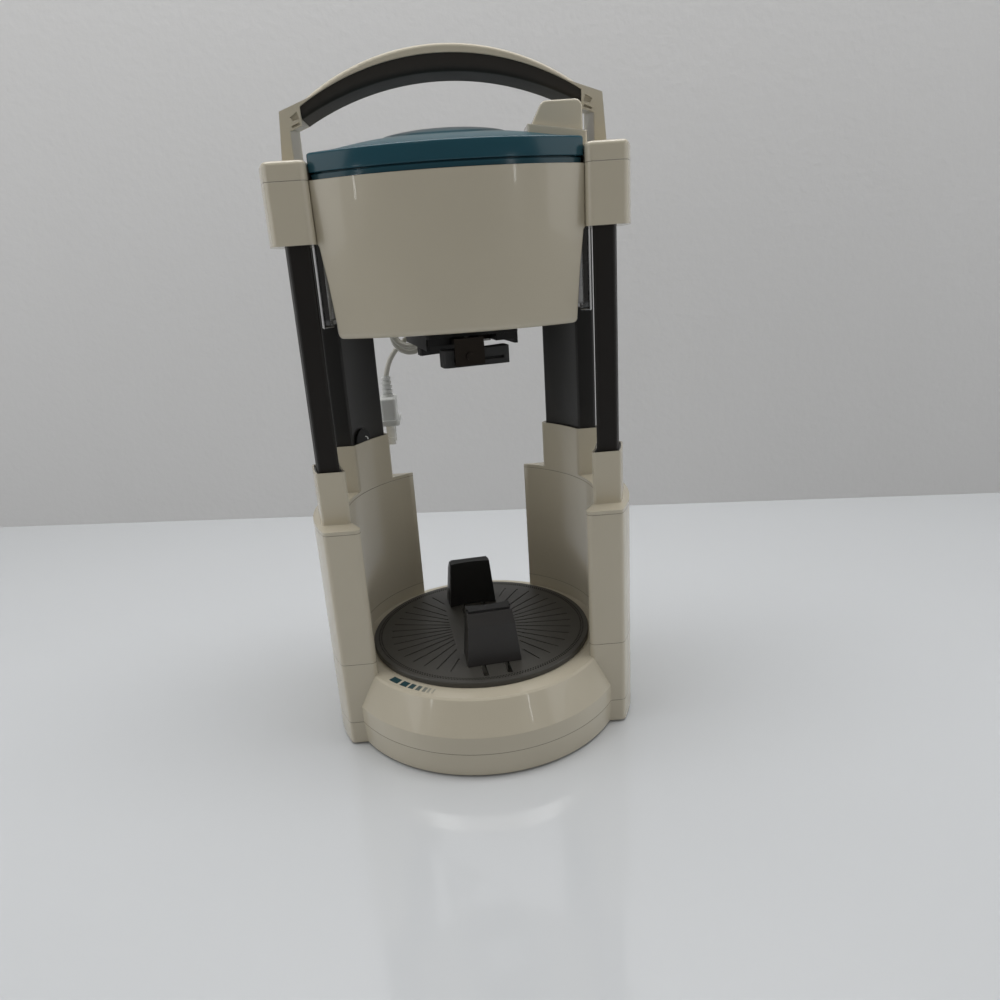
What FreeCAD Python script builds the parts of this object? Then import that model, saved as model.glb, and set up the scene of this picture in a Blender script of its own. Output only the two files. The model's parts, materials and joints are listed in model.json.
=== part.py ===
"""Electric jar opener: a round base with a jar turntable, and a motor head on four sliding posts.

Millimetres. The origin is on the resting face, on the turntable's axis: X right, Y back, Z up.
The jar stands on the turntable between two towers. The head slides down over it, its two lid
jaws close on the lid, and the motor turns them while two jar jaws hold the jar.
"""
import FreeCAD, Part

import math
import os

V = FreeCAD.Vector
ORIGIN = V(0, 0, 0)
X_AXIS = V(1, 0, 0)
Y_AXIS = V(0, 1, 0)
Z_AXIS = V(0, 0, 1)
SIDES = {"left": -1, "right": 1}

# ---------------------------------------------------------------- driving dimensions
# base
foot_height = 1.5
foot_radius = 9.0
foot_circle = 88.0
base_radius = 98.0
band_step = 1.0
pan_top = 17.2
band_top = 29.1
cone_run = 9.4
ring_top = 51.3
deck_top = 42.0
well_radius = 75.5
shell_wall = 2.6
pan_floor = 3.0
pan_rib_height = 5.0

# towers and the guides that the posts slide in
tower_inner = 85.5
tower_outer = 107.0
tower_front = -52.0
tower_rear = 74.0
tower_corner = 3.5
tower_foot_top = 60.8
tower_top = 154.2
tower_wall = 2.0
cap_plate = 2.4
sleeve_depth = 18.0
guide_top = 188.4
guide_wall = 2.0
guide_step = 4.0
guide_corner = 2.2
glide_height = 3.2
glide_gap = 0.1
front_guide_front = -37.7
front_guide_rear = -12.0
rear_guide_front = 31.5
rear_guide_angle = 48.0

# posts
post_clearance = 0.4
post_bottom = 137.0
post_corner = 2.0
post_wall = 2.2

# turntable and jar jaws
turn_gap = 0.4
disc_radius = 77.0
disc_top = 55.3
disc_plate = 3.0
rim_width = 3.0
groove_step = 9.0
groove_inner = 22.0
groove_outer = 65.0
groove_width = 1.1
groove_depth = 0.5
turntable_turn = 7.0
jaw_bottom_half = 17.9
jaw_top_half = 14.9
jaw_height = 33.5
jaw_outer = 56.4
jaw_face = 38.5
jaw_shell = 3.0
pad_thickness = 3.4
slot_offset = 7.8
slot_width = 3.2
slot_inner = 18.0
slot_outer = 69.5
slide_gap = 0.3
jaw_closing = 22.0
jaw_opening = 14.0
jar_module = 1.5
jar_teeth = 16
jar_rack_back = 20.0
tray_radius = 70.0
tray_plate = 3.0
hub_radius = 25.0
hub_bore = 17.0
tray_gap = 1.0
thrust_radius = 62.0
spindle_radius = 6.0

# head
body_bottom = 269.0
head_split = 356.5
head_wall = 2.6
body_half_top = 77.2
body_half_bottom = 74.0
body_edge_y_top = -22.0
body_edge_y_bottom = -20.0
body_front_top = -58.0
body_front_bottom = -51.0
body_rear_top = 70.0
body_rear_bottom = 64.0
body_corner_top = 3.0
body_corner_bottom = 9.0
pod_bottom = 322.9
pod_front = -42.0
pod_rear = 78.0
pod_step = 2.0
pod_top = 367.1
pod_corner = 4.0
head_seam = -24.0
liner_thickness = 2.5
liner_bottom = 275.0
pod_column_radius = 4.2
floor_edge = 3.0
lid_rim = 371.2
lid_band_top = 360.0
lid_band_inset = 1.2
lid_edge = 3.5
lid_dome_top = 380.0
lid_oval_top = 382.5
lid_oval_half_x = 37.0
lid_oval_half_y = 25.0
lid_oval_y = 3.0
cap_edge = 2.5
liner_front = -32.0
liner_rear = 30.0

# handle
handle_depth = 33.0
handle_top = 424.7
handle_shoulder = 400.2
handle_shoulder_half = 78.0
handle_leg_top = 395.2
handle_leg_inset = 14.8
handle_leg_lean = 2.2
handle_leg_thickness = 7.2
handle_band = 4.9
handle_underside = 411.0
grip_end_half = 80.0
grip_end_bottom = 391.0
grip_end_top = 397.2
grip_round = 3.5
gusset_low = 384.8
gusset_slope = 2.5
gusset_rise = 4.5
gusset_pocket_depth = 1.6

# lid gripper
carrier_turn = 13.0
carrier_half_width = 28.5
carrier_half_length = 37.0
carrier_top = 268.2
carrier_plate = 2.4
carrier_bottom = 261.6
lip_bottom = 258.9
lid_module = 1.0
lid_teeth = 12
lid_closing = 24.0
lid_opening = 18.0
carrier_hub = 14.0
bush_radius = 20.0
arm_outer_lateral = 14.0
lid_jaw_face = 34.0
lid_pad_thickness = 9.0
lid_pad_half = 20.5
lid_pad_top = 259.0
lid_pad_bottom = 248.8
bracket_half = 9.0
bracket_thickness = 2.0

# motor drive
drive_module = 1.25
drive_teeth = 48
pinion_teeth = 10
second_teeth = 36
first_teeth = 32
gear_height = 7.0
gear_gap = 1.6
second_gear_angle = 150.0
first_gear_angle = -110.0
motor_angle = -30.0
motor_radius = 18.0
motor_length = 46.0
plate_thickness = 2.5
pin_radius = 2.0
run_gap = 0.05

# start button
button_travel = 4.0
button_left = 49.5
button_right = 79.4
button_front = -22.5
button_rear = -4.0
button_top = 392.1
button_top_rear = 386.2
button_lean = 7.0
button_corner = 4.5
button_edge = 1.2
button_wall = 2.0
bezel_high = 380.0
bezel_low = 374.6
bezel_wall = 1.6
bezel_gap = 0.4

# cord
cord_radius = 2.0
hank_left = -51.0
hank_right = -22.0
hank_bottom = 243.0
hank_top = 335.0
hank_front = 80.0
hank_rear = 100.5
hank_chamfer = 11.0

# sizes that follow from the ones above
band_radius = base_radius + band_step
cone_top_radius = band_radius - cone_run
guide_outer = tower_outer - guide_step
pod_outer = tower_outer + pod_step
handle_leg_half_bottom = pod_outer - handle_leg_inset
handle_leg_half_top = handle_leg_half_bottom - handle_leg_lean
plug_x = -58.0
plug_y = 92.0
plug_half_width = 6.3
plug_half_depth = 12.0
plug_face = 191.0
plug_top = 212.0
relief_top = 228.0


# ---------------------------------------------------------------- helpers
def polygon(points):
    """Flat face inside straight edges through the points, at height zero."""
    return Part.Face(Part.makePolygon([V(x, y, 0) for x, y in points + points[:1]]))


def circle(radius, x=0.0, y=0.0):
    return Part.Face(Part.Wire(Part.makeCircle(radius, V(x, y, 0))))


def box_face(x0, x1, y0, y1):
    return polygon([(x0, y0), (x1, y0), (x1, y1), (x0, y1)])


def grown(face, by):
    """The face with its outline moved outward, or inward when by is negative."""
    return face.makeOffset2D(by, 2)


def raised(face, z0, z1):
    """Upright solid over a flat face."""
    lifted = face.copy()
    lifted.translate(V(0, 0, z0))
    return lifted.extrude(V(0, 0, z1 - z0))


def tube(outer, inner, z0, z1, x=0.0, y=0.0):
    solid = Part.makeCylinder(outer, z1 - z0, V(x, y, z0))
    return solid.cut(Part.makeCylinder(inner, z1 - z0, V(x, y, z0))) if inner else solid


def box(x0, x1, y0, y1, z0, z1):
    return Part.makeBox(x1 - x0, y1 - y0, z1 - z0, V(x0, y0, z0))


def revolved(profile):
    """Solid turned about the vertical axis from (radius, height) points."""
    wire = Part.makePolygon([V(r, 0, z) for r, z in profile + profile[:1]])
    return Part.Face(wire).revolve(ORIGIN, Z_AXIS, 360)


def mirrored(shape):
    return shape.mirror(ORIGIN, X_AXIS)


def on_side(shape, side):
    """A shape modelled on the right, moved to the side that is asked for."""
    return shape if SIDES[side] > 0 else mirrored(shape)


def turned(shape, degrees):
    copy = shape.copy()
    copy.rotate(ORIGIN, Z_AXIS, degrees)
    return copy


def moved(shape, x=0.0, y=0.0, z=0.0):
    copy = shape.copy()
    copy.translate(V(x, y, z))
    return copy


def fused(shapes):
    first, *rest = shapes
    return first.fuse(rest).removeSplitter() if rest else first


def upright_edges(shape, low=None, high=None):
    """Straight vertical edges, for rounding a prism's corners."""
    found = []
    for edge in shape.Edges:
        if len(edge.Vertexes) != 2:
            continue
        a, b = (v.Point for v in edge.Vertexes)
        if abs(a.x - b.x) + abs(a.y - b.y) < 1e-4 and abs(a.z - b.z) > 1.0:
            if (low is None or min(a.z, b.z) > low) and (high is None or max(a.z, b.z) < high):
                found.append(edge)
    return found


def level_edges(shape, z):
    """Edges that lie at one height."""
    return [e for e in shape.Edges if abs(e.BoundBox.ZMin - z) < 1e-3 and abs(e.BoundBox.ZMax - z) < 1e-3]


def rounded(shape, radius):
    return shape.makeFillet(radius, upright_edges(shape))


def rounded_face(face, radius):
    """The face with its convex and concave corners rounded."""
    prism = rounded(raised(face, 0, 10), radius)
    return next(f for f in prism.Faces if f.CenterOfMass.z < 1e-6 and f.normalAt(0, 0).z < -0.9)


def save(name, shape):
    shape.exportStep(f"parts/{name}.step")


def gear_face(module, teeth, thickness=0.42):
    """Spur gear outline. thickness is the tooth's share of the pitch at the pitch circle."""
    pitch_radius = module * teeth / 2
    pitch = 2 * math.pi / teeth
    slope = math.tan(math.radians(20))
    root, tip = pitch_radius - 1.2 * module, pitch_radius + 0.9 * module
    points = []
    for tooth in range(teeth):
        for radius, side in ((root, -1), (tip, -1), (tip, 1), (root, 1)):
            half = thickness * pitch / 2 + (pitch_radius - radius) * slope / pitch_radius
            angle = tooth * pitch + side * half
            points.append((radius * math.cos(angle), radius * math.sin(angle)))
    return polygon(points)


def rack_face(module, start, end, pitch_line, back, phase=0.0, thickness=0.42):
    """Toothed bar along Y: teeth point to -X at the pitch line, the plain back is at +X."""
    pitch = math.pi * module
    tip, root = pitch_line - 0.9 * module, pitch_line + 1.2 * module
    slope = math.tan(math.radians(20))
    half = thickness * pitch / 2
    half_tip, half_root = half - 0.9 * module * slope, half + 1.2 * module * slope
    points = [(root, start)]
    middle = math.ceil((start + half_root - phase) / pitch) * pitch + phase
    while middle + half_root < end:
        points += [(root, middle - half_root), (tip, middle - half_tip)]
        points += [(tip, middle + half_tip), (root, middle + half_root)]
        middle += pitch
    points += [(root, end), (back, end), (back, start)]
    return polygon(points)


# ---------------------------------------------------------------- plans
def tower_plan():
    band = box_face(0, 2 * tower_outer, tower_front, tower_rear)
    ring = circle(tower_outer).cut(circle(tower_inner))
    return rounded_face(ring.common(band).Faces[0], tower_corner)


def front_guide_plan():
    band = box_face(0, 2 * guide_outer, front_guide_front, front_guide_rear)
    return circle(guide_outer).cut(circle(tower_inner)).common(band).Faces[0]


def rear_guide_plan():
    reach = 3 * guide_outer
    angle = math.radians(rear_guide_angle)
    wedge = polygon([(0, rear_guide_front), (reach, rear_guide_front),
                     (reach, reach * math.tan(angle)), (0, 0)])
    above = box_face(0, reach, rear_guide_front, tower_rear)
    return circle(guide_outer).cut(circle(tower_inner)).common(wedge).common(above).Faces[0]


def post_plan(guide_plan, by=0.0):
    """A post's outline inside its guide, grown by the amount given."""
    return grown(guide_plan, by - guide_wall - post_clearance)


def both_guides():
    return front_guide_plan(), rear_guide_plan()


# ---------------------------------------------------------------- base
def screw(x, y, z, length, head_down=True, radius=1.7, head=3.3):
    """Pan-head screw standing upright, its head at the bottom unless told otherwise."""
    shank = Part.makeCylinder(radius, length, V(x, y, z))
    cap = Part.makeCylinder(head, 2.0, V(x, y, z - 2.0 if head_down else z + length))
    return shank.fuse(cap)


def base_outline(z0, z1, inset=0.0):
    """Round skirt and both tower feet as one solid between two heights."""
    slope = (band_radius - base_radius) / (pan_top - foot_height)
    radius = [base_radius + slope * (z - foot_height) - inset for z in (z0, z1)]
    skirt = Part.makeCone(radius[0], radius[1], z1 - z0, V(0, 0, z0))
    foot = raised(grown(tower_plan(), -inset), z0, z1)
    return skirt.fuse([foot, mirrored(foot)])


boss_radius = 4.6
boss_bore = 1.7
screw_seat = foot_height + 5.0
screw_length = 15.0


def base_screw_places():
    """Two screws beside the turntable's well and two between the posts of each tower."""
    ring = well_radius + shell_wall + boss_radius - 0.3
    wall = tower_outer - tower_wall - boss_radius + 0.5
    polar = [(ring, 90), (ring, -90), (wall, -1.2), (wall, 12.5), (wall, 167.5), (wall, 181.2)]
    return [(r * math.cos(math.radians(a)), r * math.sin(math.radians(a))) for r, a in polar]


def base_pan():
    floor_top = foot_height + pan_floor
    pan = base_outline(foot_height, pan_top)
    pan = pan.cut(base_outline(floor_top, pan_top, shell_wall))
    pan = pan.fuse(tube(spindle_radius + 6, 0, floor_top, floor_top + 4))
    ribs = [turned(box(spindle_radius + 6, base_radius - 4, -1, 1, floor_top,
                   floor_top + pan_rib_height), step * 60)
            for step in range(6)]
    bosses = [tube(boss_radius, 0, floor_top, pan_top, x, y) for x, y in base_screw_places()]
    pan = pan.fuse(ribs + bosses)
    for x, y in base_screw_places():
        pan = pan.cut(tube(boss_radius - 1.0, 0, foot_height, screw_seat, x, y))
        pan = pan.cut(tube(boss_bore, 0, foot_height, pan_top, x, y))
    for x, y in foot_places():
        pan = pan.cut(tube(foot_radius, 0, foot_height, foot_height + 1.2, x, y))
    return pan.removeSplitter()


def foot_places():
    return [(foot_circle * math.cos(a), foot_circle * math.sin(a))
            for a in (math.radians(45 + 90 * step) for step in range(4))]


def foot_pads():
    pads = [Part.makeCylinder(foot_radius, foot_height + 1.2, V(x, y, 0)) for x, y in foot_places()]
    return Part.makeCompound([pad.makeFillet(0.8, level_edges(pad, 0)) for pad in pads])


def base_screws():
    return Part.makeCompound([screw(x, y, screw_seat, screw_length, head=boss_radius - 1.2)
                              for x, y in base_screw_places()])


def base_shell():
    w = shell_wall
    outer = revolved([(0, pan_top), (band_radius, pan_top), (band_radius, band_top),
                      (cone_top_radius + 0.6, ring_top - 1.2), (cone_top_radius - 0.8, ring_top),
                      (0, ring_top)])
    inner = revolved([(0, pan_top), (band_radius - w, pan_top), (band_radius - w, band_top - 0.8),
                      (cone_top_radius - w, ring_top - w), (well_radius + w, ring_top - w),
                      (well_radius + w, deck_top - w), (0, deck_top - w)])
    well = tube(well_radius, 0, deck_top, ring_top)
    plan = tower_plan()
    foot = raised(plan, pan_top, tower_foot_top)
    room = raised(grown(plan, -tower_wall), pan_top, tower_foot_top)
    shell = outer.fuse([foot, mirrored(foot)])
    shell = shell.cut(inner).cut([room, mirrored(room)]).cut(well)
    shell = shell.cut(tube(hub_radius + run_gap, 0, deck_top - w, deck_top))
    shell = shell.fuse([tube(boss_radius, 0, pan_top, ring_top - w + 0.5, x, y)
                        for x, y in base_screw_places()])
    for x, y in base_screw_places():
        shell = shell.cut(tube(boss_bore, 0, pan_top, screw_seat + screw_length + 2, x, y))
    return shell.removeSplitter()


def tower_shell(side):
    plan = tower_plan()
    cap_seat = tower_top - cap_plate
    shell = raised(plan, tower_foot_top, cap_seat)
    shell = shell.cut(raised(grown(plan, -tower_wall), tower_foot_top, cap_seat))
    return on_side(shell, side)


def tower_cap(side):
    """Plate that closes a tower, with the two guides that the posts slide in."""
    plate = raised(tower_plan(), tower_top - cap_plate, tower_top)
    guides = [raised(plan, tower_top, guide_top) for plan in both_guides()]
    sleeves = [raised(plan, tower_top - sleeve_depth, tower_top) for plan in both_guides()]
    room = raised(grown(tower_plan(), -(tower_wall + 0.2)), 0, guide_top)
    cap = plate.fuse([rounded(g, guide_corner) for g in guides] + [s.common(room) for s in sleeves])
    for plan in both_guides():
        cap = cap.cut(raised(grown(plan, -guide_wall), tower_top - sleeve_depth, guide_top))
        cap = cap.cut(raised(grown(plan, -0.6 * guide_wall), guide_top - glide_height, guide_top))
    return on_side(cap.removeSplitter(), side)


# ---------------------------------------------------------------- turntable and jar jaws
plate_bottom = disc_top - disc_plate
tray_bottom = deck_top + tray_gap
tray_top = tray_bottom + tray_plate
rack_bottom = tray_top + slide_gap
rack_top = plate_bottom - slide_gap
pinion_pitch = jar_module * jar_teeth / 2
pad_back = jaw_face + pad_thickness
foot_front, foot_back = pad_back + 0.6, jaw_outer - 3.4
jaw_underside = disc_top + slide_gap
hub_bottom = deck_top - shell_wall - slide_gap
spindle_seat = foot_height + pan_floor + 4


def jar_sun_gear():
    """Fixed toothed post in the middle of the base that works both jar racks."""
    flange = tube(spindle_radius + 6, 0, spindle_seat, spindle_seat + 3)
    shaft = tube(spindle_radius, 0, spindle_seat, rack_bottom)
    toothed = raised(turned(gear_face(jar_module, jar_teeth), turntable_turn), rack_bottom, rack_top)
    return fused([flange, shaft, toothed])


disc_screw_places = [(x, y) for x in (-42, 42) for y in (-36, 36)]


def turntable_disc():
    rim = disc_radius + 0.5
    low = ring_top + turn_gap
    disc = revolved([(0, plate_bottom), (rim - rim_width, plate_bottom), (rim - rim_width, low),
                     (rim, low), (rim, disc_top - 0.8), (disc_radius, disc_top), (0, disc_top)])
    disc = disc.fuse([tube(4.0, 0, tray_top, plate_bottom, x, y) for x, y in disc_screw_places])
    slot = box(slot_offset - slot_width / 2, slot_offset + slot_width / 2,
               slot_inner, slot_outer, plate_bottom, disc_top)
    for one in (slot, mirrored(slot)):
        disc = disc.cut([one, turned(one, 180)])
    grooves = []
    for step in range(-7, 8):
        start = groove_inner / math.cos(math.radians(groove_step * step))
        groove = box(start, groove_outer, -groove_width / 2, groove_width / 2,
                     disc_top - groove_depth, disc_top)
        grooves += [turned(groove, groove_step * step), turned(groove, groove_step * step + 180)]
    disc = disc.cut(grooves)
    for x, y in disc_screw_places:
        disc = disc.cut(tube(1.2, 0, tray_top, plate_bottom, x, y))
    return turned(disc, turntable_turn)


def turntable_tray():
    tray = tube(tray_radius, hub_bore, tray_bottom, tray_top)
    hub = tube(hub_radius, hub_bore, hub_bottom, tray_bottom)
    thrust_ring = tube(thrust_radius, thrust_radius - 5, deck_top + slide_gap, tray_bottom)
    tray = tray.fuse([hub, thrust_ring])
    rail = box(jar_rack_back + slide_gap, jar_rack_back + slide_gap + 3, -58, 58, tray_top, plate_bottom)
    tray = tray.fuse([rail, mirrored(rail)])
    for x, y in disc_screw_places:
        tray = tray.cut(tube(1.7, 0, tray_bottom, tray_top, x, y))
        tray = tray.cut(tube(3.4, 0, tray_bottom, tray_bottom + 2.0, x, y))
    return turned(tray, turntable_turn)


def turntable_retainer():
    return tube(hub_radius + 5, hub_bore, hub_bottom - 2.5, hub_bottom)


def turntable_screws():
    screws = [screw(x, y, tray_bottom + 2.0, 6.0, radius=1.2, head=3.2) for x, y in disc_screw_places]
    return turned(Part.makeCompound(screws), turntable_turn)


def jaw_section(half, front, back, z):
    corners = [(-half, front), (half, front), (half, back), (-half, back), (-half, front)]
    return Part.makePolygon([V(x, y, z) for x, y in corners])


def jaw_block(front, inset=0.0):
    """Wedge between the grip pad and the jaw's sloping outer face, standing on the disc."""
    crease, high = disc_top + 0.79 * jaw_height, disc_top + jaw_height
    sections = [jaw_section(jaw_bottom_half - inset, front, jaw_outer - inset, jaw_underside),
                jaw_section(jaw_bottom_half - 2.3 - inset, front, jaw_outer - 3.4 - inset, crease),
                jaw_section(jaw_top_half - inset, front, jaw_outer - 8.9 - inset, high - inset)]
    return Part.makeLoft(sections, True, True)


def jar_jaw():
    """Moulded jaw, hollow from below, with two seats for the rack's feet."""
    outer = jaw_block(pad_back)
    body = outer.cut(jaw_block(pad_back + jaw_shell, jaw_shell))
    seats = [box(x - 3.5, x + 3.5, foot_front, foot_back, jaw_underside, disc_top + 6).common(outer)
             for x in (-slot_offset, slot_offset)]
    return body.fuse(seats)


def jar_pad():
    """Rubber face of a jar jaw, hollowed to the curve of a jar and hooked over the jaw's top."""
    high = disc_top + jaw_height + 1.4
    wedge = Part.makeLoft([jaw_section(jaw_bottom_half - 0.3, jaw_face - 3, pad_back, jaw_underside),
                           jaw_section(jaw_top_half - 0.2, jaw_face - 3, pad_back, high)], True, True)
    lip = box(1 - jaw_top_half, jaw_top_half - 1, pad_back - 1, pad_back + 4, disc_top + jaw_height, high)
    hollow = Part.makeCylinder(51.0, 60, V(0, jaw_face - 51.0, disc_top))
    return fused([wedge, lip]).cut(hollow)


def jar_rack():
    """Rack under the disc, with the two feet that carry a jaw through the slots."""
    phase = math.pi * jar_module / 2
    bar = raised(rack_face(jar_module, -jaw_opening - 5, foot_back, pinion_pitch, jar_rack_back, phase),
                 rack_bottom, rack_top)
    bridge = box(-slot_offset - 1.3, jar_rack_back - 1, foot_front, foot_back, rack_bottom, rack_top)
    half = slot_width / 2 - 0.4
    feet = [box(x - half, x + half, foot_front, foot_back, rack_top, jaw_underside)
            for x in (-slot_offset, slot_offset)]
    return fused([bar, bridge] + feet)


def jar_side(shape, where):
    """Rear jaw pieces as modelled, front ones turned half round, both on the turned table."""
    return turned(shape, turntable_turn + (0 if where == "rear" else 180))


# ---------------------------------------------------------------- posts
def post(plan, side):
    outer = rounded(raised(post_plan(plan), post_bottom, head_split), post_corner)
    inner = raised(post_plan(plan, -post_wall), post_bottom, head_split)
    return on_side(outer.cut(inner), side)


def post_glides():
    """Wiper collars in the mouths of all four guides, and a click pad beside each front one."""
    shapes = []
    for plan in both_guides():
        collar = raised(grown(plan, -0.6 * guide_wall), guide_top - glide_height, guide_top - 0.8)
        shapes.append(collar.cut(raised(post_plan(plan, glide_gap), 0, guide_top)))
    pad = box(tower_inner + 1, tower_inner + 6, front_guide_rear, front_guide_rear + 2.5,
              guide_top - 10, guide_top + 1.2)
    shapes.append(pad)
    return Part.makeCompound(shapes + [mirrored(one) for one in shapes])


# ---------------------------------------------------------------- head housing
def blend(low, high, z):
    return low + (high - low) * (z - body_bottom) / (head_split - body_bottom)


def body_plan(z):
    """The motor body's outline at a height: bowed front and rear, straight flanks."""
    half = blend(body_half_bottom, body_half_top, z)
    edge = blend(body_edge_y_bottom, body_edge_y_top, z)
    front = blend(body_front_bottom, body_front_top, z)
    rear = blend(body_rear_bottom, body_rear_top, z)
    front_bow, rear_bow = edge - front, rear + edge
    front_radius = (half ** 2 + front_bow ** 2) / (2 * front_bow)
    rear_radius = (half ** 2 + rear_bow ** 2) / (2 * rear_bow)
    face = circle(front_radius, 0, front + front_radius)
    face = face.common(circle(rear_radius, 0, rear - rear_radius))
    face = face.common(box_face(-half, half, front - 1, rear + 1)).Faces[0]
    return rounded_face(face, blend(body_corner_bottom, body_corner_top, z))


def body_solid(z0, z1, inset=0.0):
    wires = []
    for z in (z0, z1):
        face = body_plan(z) if inset == 0 else grown(body_plan(z), -inset)
        wires.append(moved(face.OuterWire, z=z))
    return Part.makeLoft(wires, True, True)


def pod_plan(by=0.0):
    reach = 2 * pod_outer
    corner = polygon([(body_half_top, pod_front), (reach, pod_front), (reach, pod_rear),
                      (44, pod_rear), (44, 48), (body_half_top, 8)])
    plan = rounded_face(corner.common(circle(pod_outer)).Faces[0], pod_corner)
    return grown(plan, by) if by else plan


pod_screw_places = [(95.0, -3.0), (95.0, 22.0)]
pod_screw_seat = head_split - 11.0


def housing():
    """Lower shell of the head: the motor body with a pod on each flank, before it is parted."""
    w = head_wall
    pod = raised(pod_plan(), pod_bottom, head_split)
    room = raised(pod_plan(-w), pod_bottom + w, head_split)
    body = body_solid(body_bottom, head_split)
    body = body.makeFillet(floor_edge, level_edges(body, body_bottom))
    shell = body.fuse([pod, mirrored(pod)])
    shell = shell.cut([body_solid(body_bottom + w, head_split, w), room, mirrored(room)])
    columns = [tube(pod_column_radius, 0, pod_bottom, head_split, x, y) for x, y in pod_screw_places]
    shell = shell.fuse(columns + [mirrored(c) for c in columns])
    cuts = []
    for x, y in pod_screw_places:
        cuts += [tube(1.7, 0, pod_bottom, head_split, x, y),
                 tube(3.2, 0, pod_bottom, pod_screw_seat, x, y)]
    for plan in both_guides():
        cuts.append(raised(post_plan(plan, 0.15), pod_bottom, pod_bottom + 2 * w))
    shell = shell.cut(cuts + [mirrored(c) for c in cuts])
    return shell.cut(tube(bush_radius, 0, body_bottom, body_bottom + w)).removeSplitter()


def front_room():
    """Everything ahead of the parting line, between the pods."""
    return box(-body_half_top, body_half_top, -2 * pod_outer, head_seam, body_bottom, head_split)


def head_front(shell):
    return shell.common(front_room())


def head_rear(shell):
    return shell.cut(front_room())


def pod_cap(side):
    """Cap over a pod, closed above the posts that it stands on and at its screws."""
    keep = raised(pod_plan(), head_split, pod_top)
    outer_top = [e for e in level_edges(keep, pod_top)
                 if e.BoundBox.XMax > body_half_top + 10 and e.BoundBox.YLength > 40]
    keep = keep.makeFillet(cap_edge, outer_top)
    room = raised(pod_plan(-head_wall), head_split, pod_top - head_wall)
    room = room.cut([raised(post_plan(plan, 1.0), head_split, pod_top) for plan in both_guides()])
    room = room.cut([tube(pod_column_radius, 0, head_split, pod_top, x, y) for x, y in pod_screw_places])
    cap = keep.cut(room).cut(raised(body_plan(head_split), head_split, pod_top))
    cap = cap.cut([tube(1.7, 0, head_split, head_split + 6, x, y) for x, y in pod_screw_places])
    return on_side(cap, side)


def head_screws():
    screws = [screw(x, y, pod_screw_seat, 16.0, radius=1.7, head=3.1) for x, y in pod_screw_places]
    return Part.makeCompound(screws + [mirrored(one) for one in screws])


def side_liner(side):
    """Curved scuff plate that hangs from a pod beside the motor body, with a turned-in foot."""
    outer = tower_inner - 0.7
    ring = tube(outer, outer - liner_thickness, liner_bottom, pod_bottom)
    foot = tube(outer, outer - liner_thickness - 2.5, liner_bottom, liner_bottom + 2.5)
    band = box(0, guide_outer, liner_front, liner_rear, liner_bottom, pod_bottom)
    low_corners = [e for e in band.Edges if e.BoundBox.XLength > 50 and e.BoundBox.ZMax < pod_bottom - 1]
    return on_side(ring.fuse(foot).common(band.makeFillet(6.0, low_corners)), side)


# ---------------------------------------------------------------- lid
def lid_outline(inset, z):
    """The lid's outline shrunk toward its middle by about the inset, at a height."""
    wire = body_plan(head_split).OuterWire.copy()
    wire.scale(1 - inset / body_half_top, V(0, 6, 0))
    return moved(wire, z=z)


def lid_cover():
    """Teal cover: a recessed band, a rounded rim and a low dome with an oval boss."""
    plan = body_plan(head_split)
    band = raised(grown(plan, -lid_band_inset), head_split, lid_band_top)
    rim = raised(grown(plan, -0.3), lid_band_top, lid_rim)
    rim = rim.makeFillet(lid_edge, level_edges(rim, lid_rim))
    rise = lid_dome_top - lid_rim
    levels = [(5, 0), (16, 0.42), (30, 0.75), (44, 0.94), (56, 1.0)]
    dome = Part.makeLoft([lid_outline(inset, lid_rim + rise * share) for inset, share in levels], True)
    oval = Part.Face(Part.Wire(Part.Ellipse(ORIGIN, lid_oval_half_x, lid_oval_half_y).toShape()))
    boss = moved(raised(oval, lid_dome_top - head_wall + 0.6, lid_oval_top), y=lid_oval_y)
    boss = boss.makeFillet(1.2, level_edges(boss, lid_oval_top))
    room = raised(grown(plan, -lid_band_inset - head_wall), head_split, lid_rim - head_wall)
    cover = band.fuse([rim, dome, boss]).cut(room.fuse(moved(dome, z=-head_wall)))
    left, right, front, rear = bezel_left - 0.1, bezel_right + 0.1, bezel_front - 0.1, bezel_rear + 0.1
    hole = box(left, right, front, rear, head_split, handle_top)
    return cover.cut(hole)


# ---------------------------------------------------------------- handle
def xz(x, z):
    return V(x, 0, z)


def outline_face(chain):
    """Face in the XZ plane from a closed chain: pairs are line ends, triples arcs through a middle."""
    edges, last = [], chain[0]
    for item in chain[1:]:
        if isinstance(item[0], (int, float)):
            edges.append(Part.LineSegment(xz(*last), xz(*item)).toShape())
            last = item
        else:
            edges.append(Part.Arc(xz(*last), xz(*item[0]), xz(*item[1])).toShape())
            last = item[1]
    return Part.Face(Part.Wire(edges))


def across(face, y0, y1):
    """Solid from a face in the XZ plane, running along Y."""
    return moved(face, y=y0).extrude(V(0, y1 - y0, 0))


def gusset_underside(inner_x, end_x):
    """What is cut from under a shoulder, so that its underside rises toward the rear."""
    wires = []
    for y, rise in ((-handle_depth / 2, 0.0), (handle_depth / 2, gusset_rise)):
        low = gusset_low - 6
        corners = [V(inner_x, y, low), V(inner_x, y, gusset_low + rise),
                   V(end_x, y, gusset_low + gusset_slope + rise), V(end_x, y, low)]
        wires.append(Part.makePolygon(corners + corners[:1]))
    return Part.makeLoft(wires, True, True)


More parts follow.
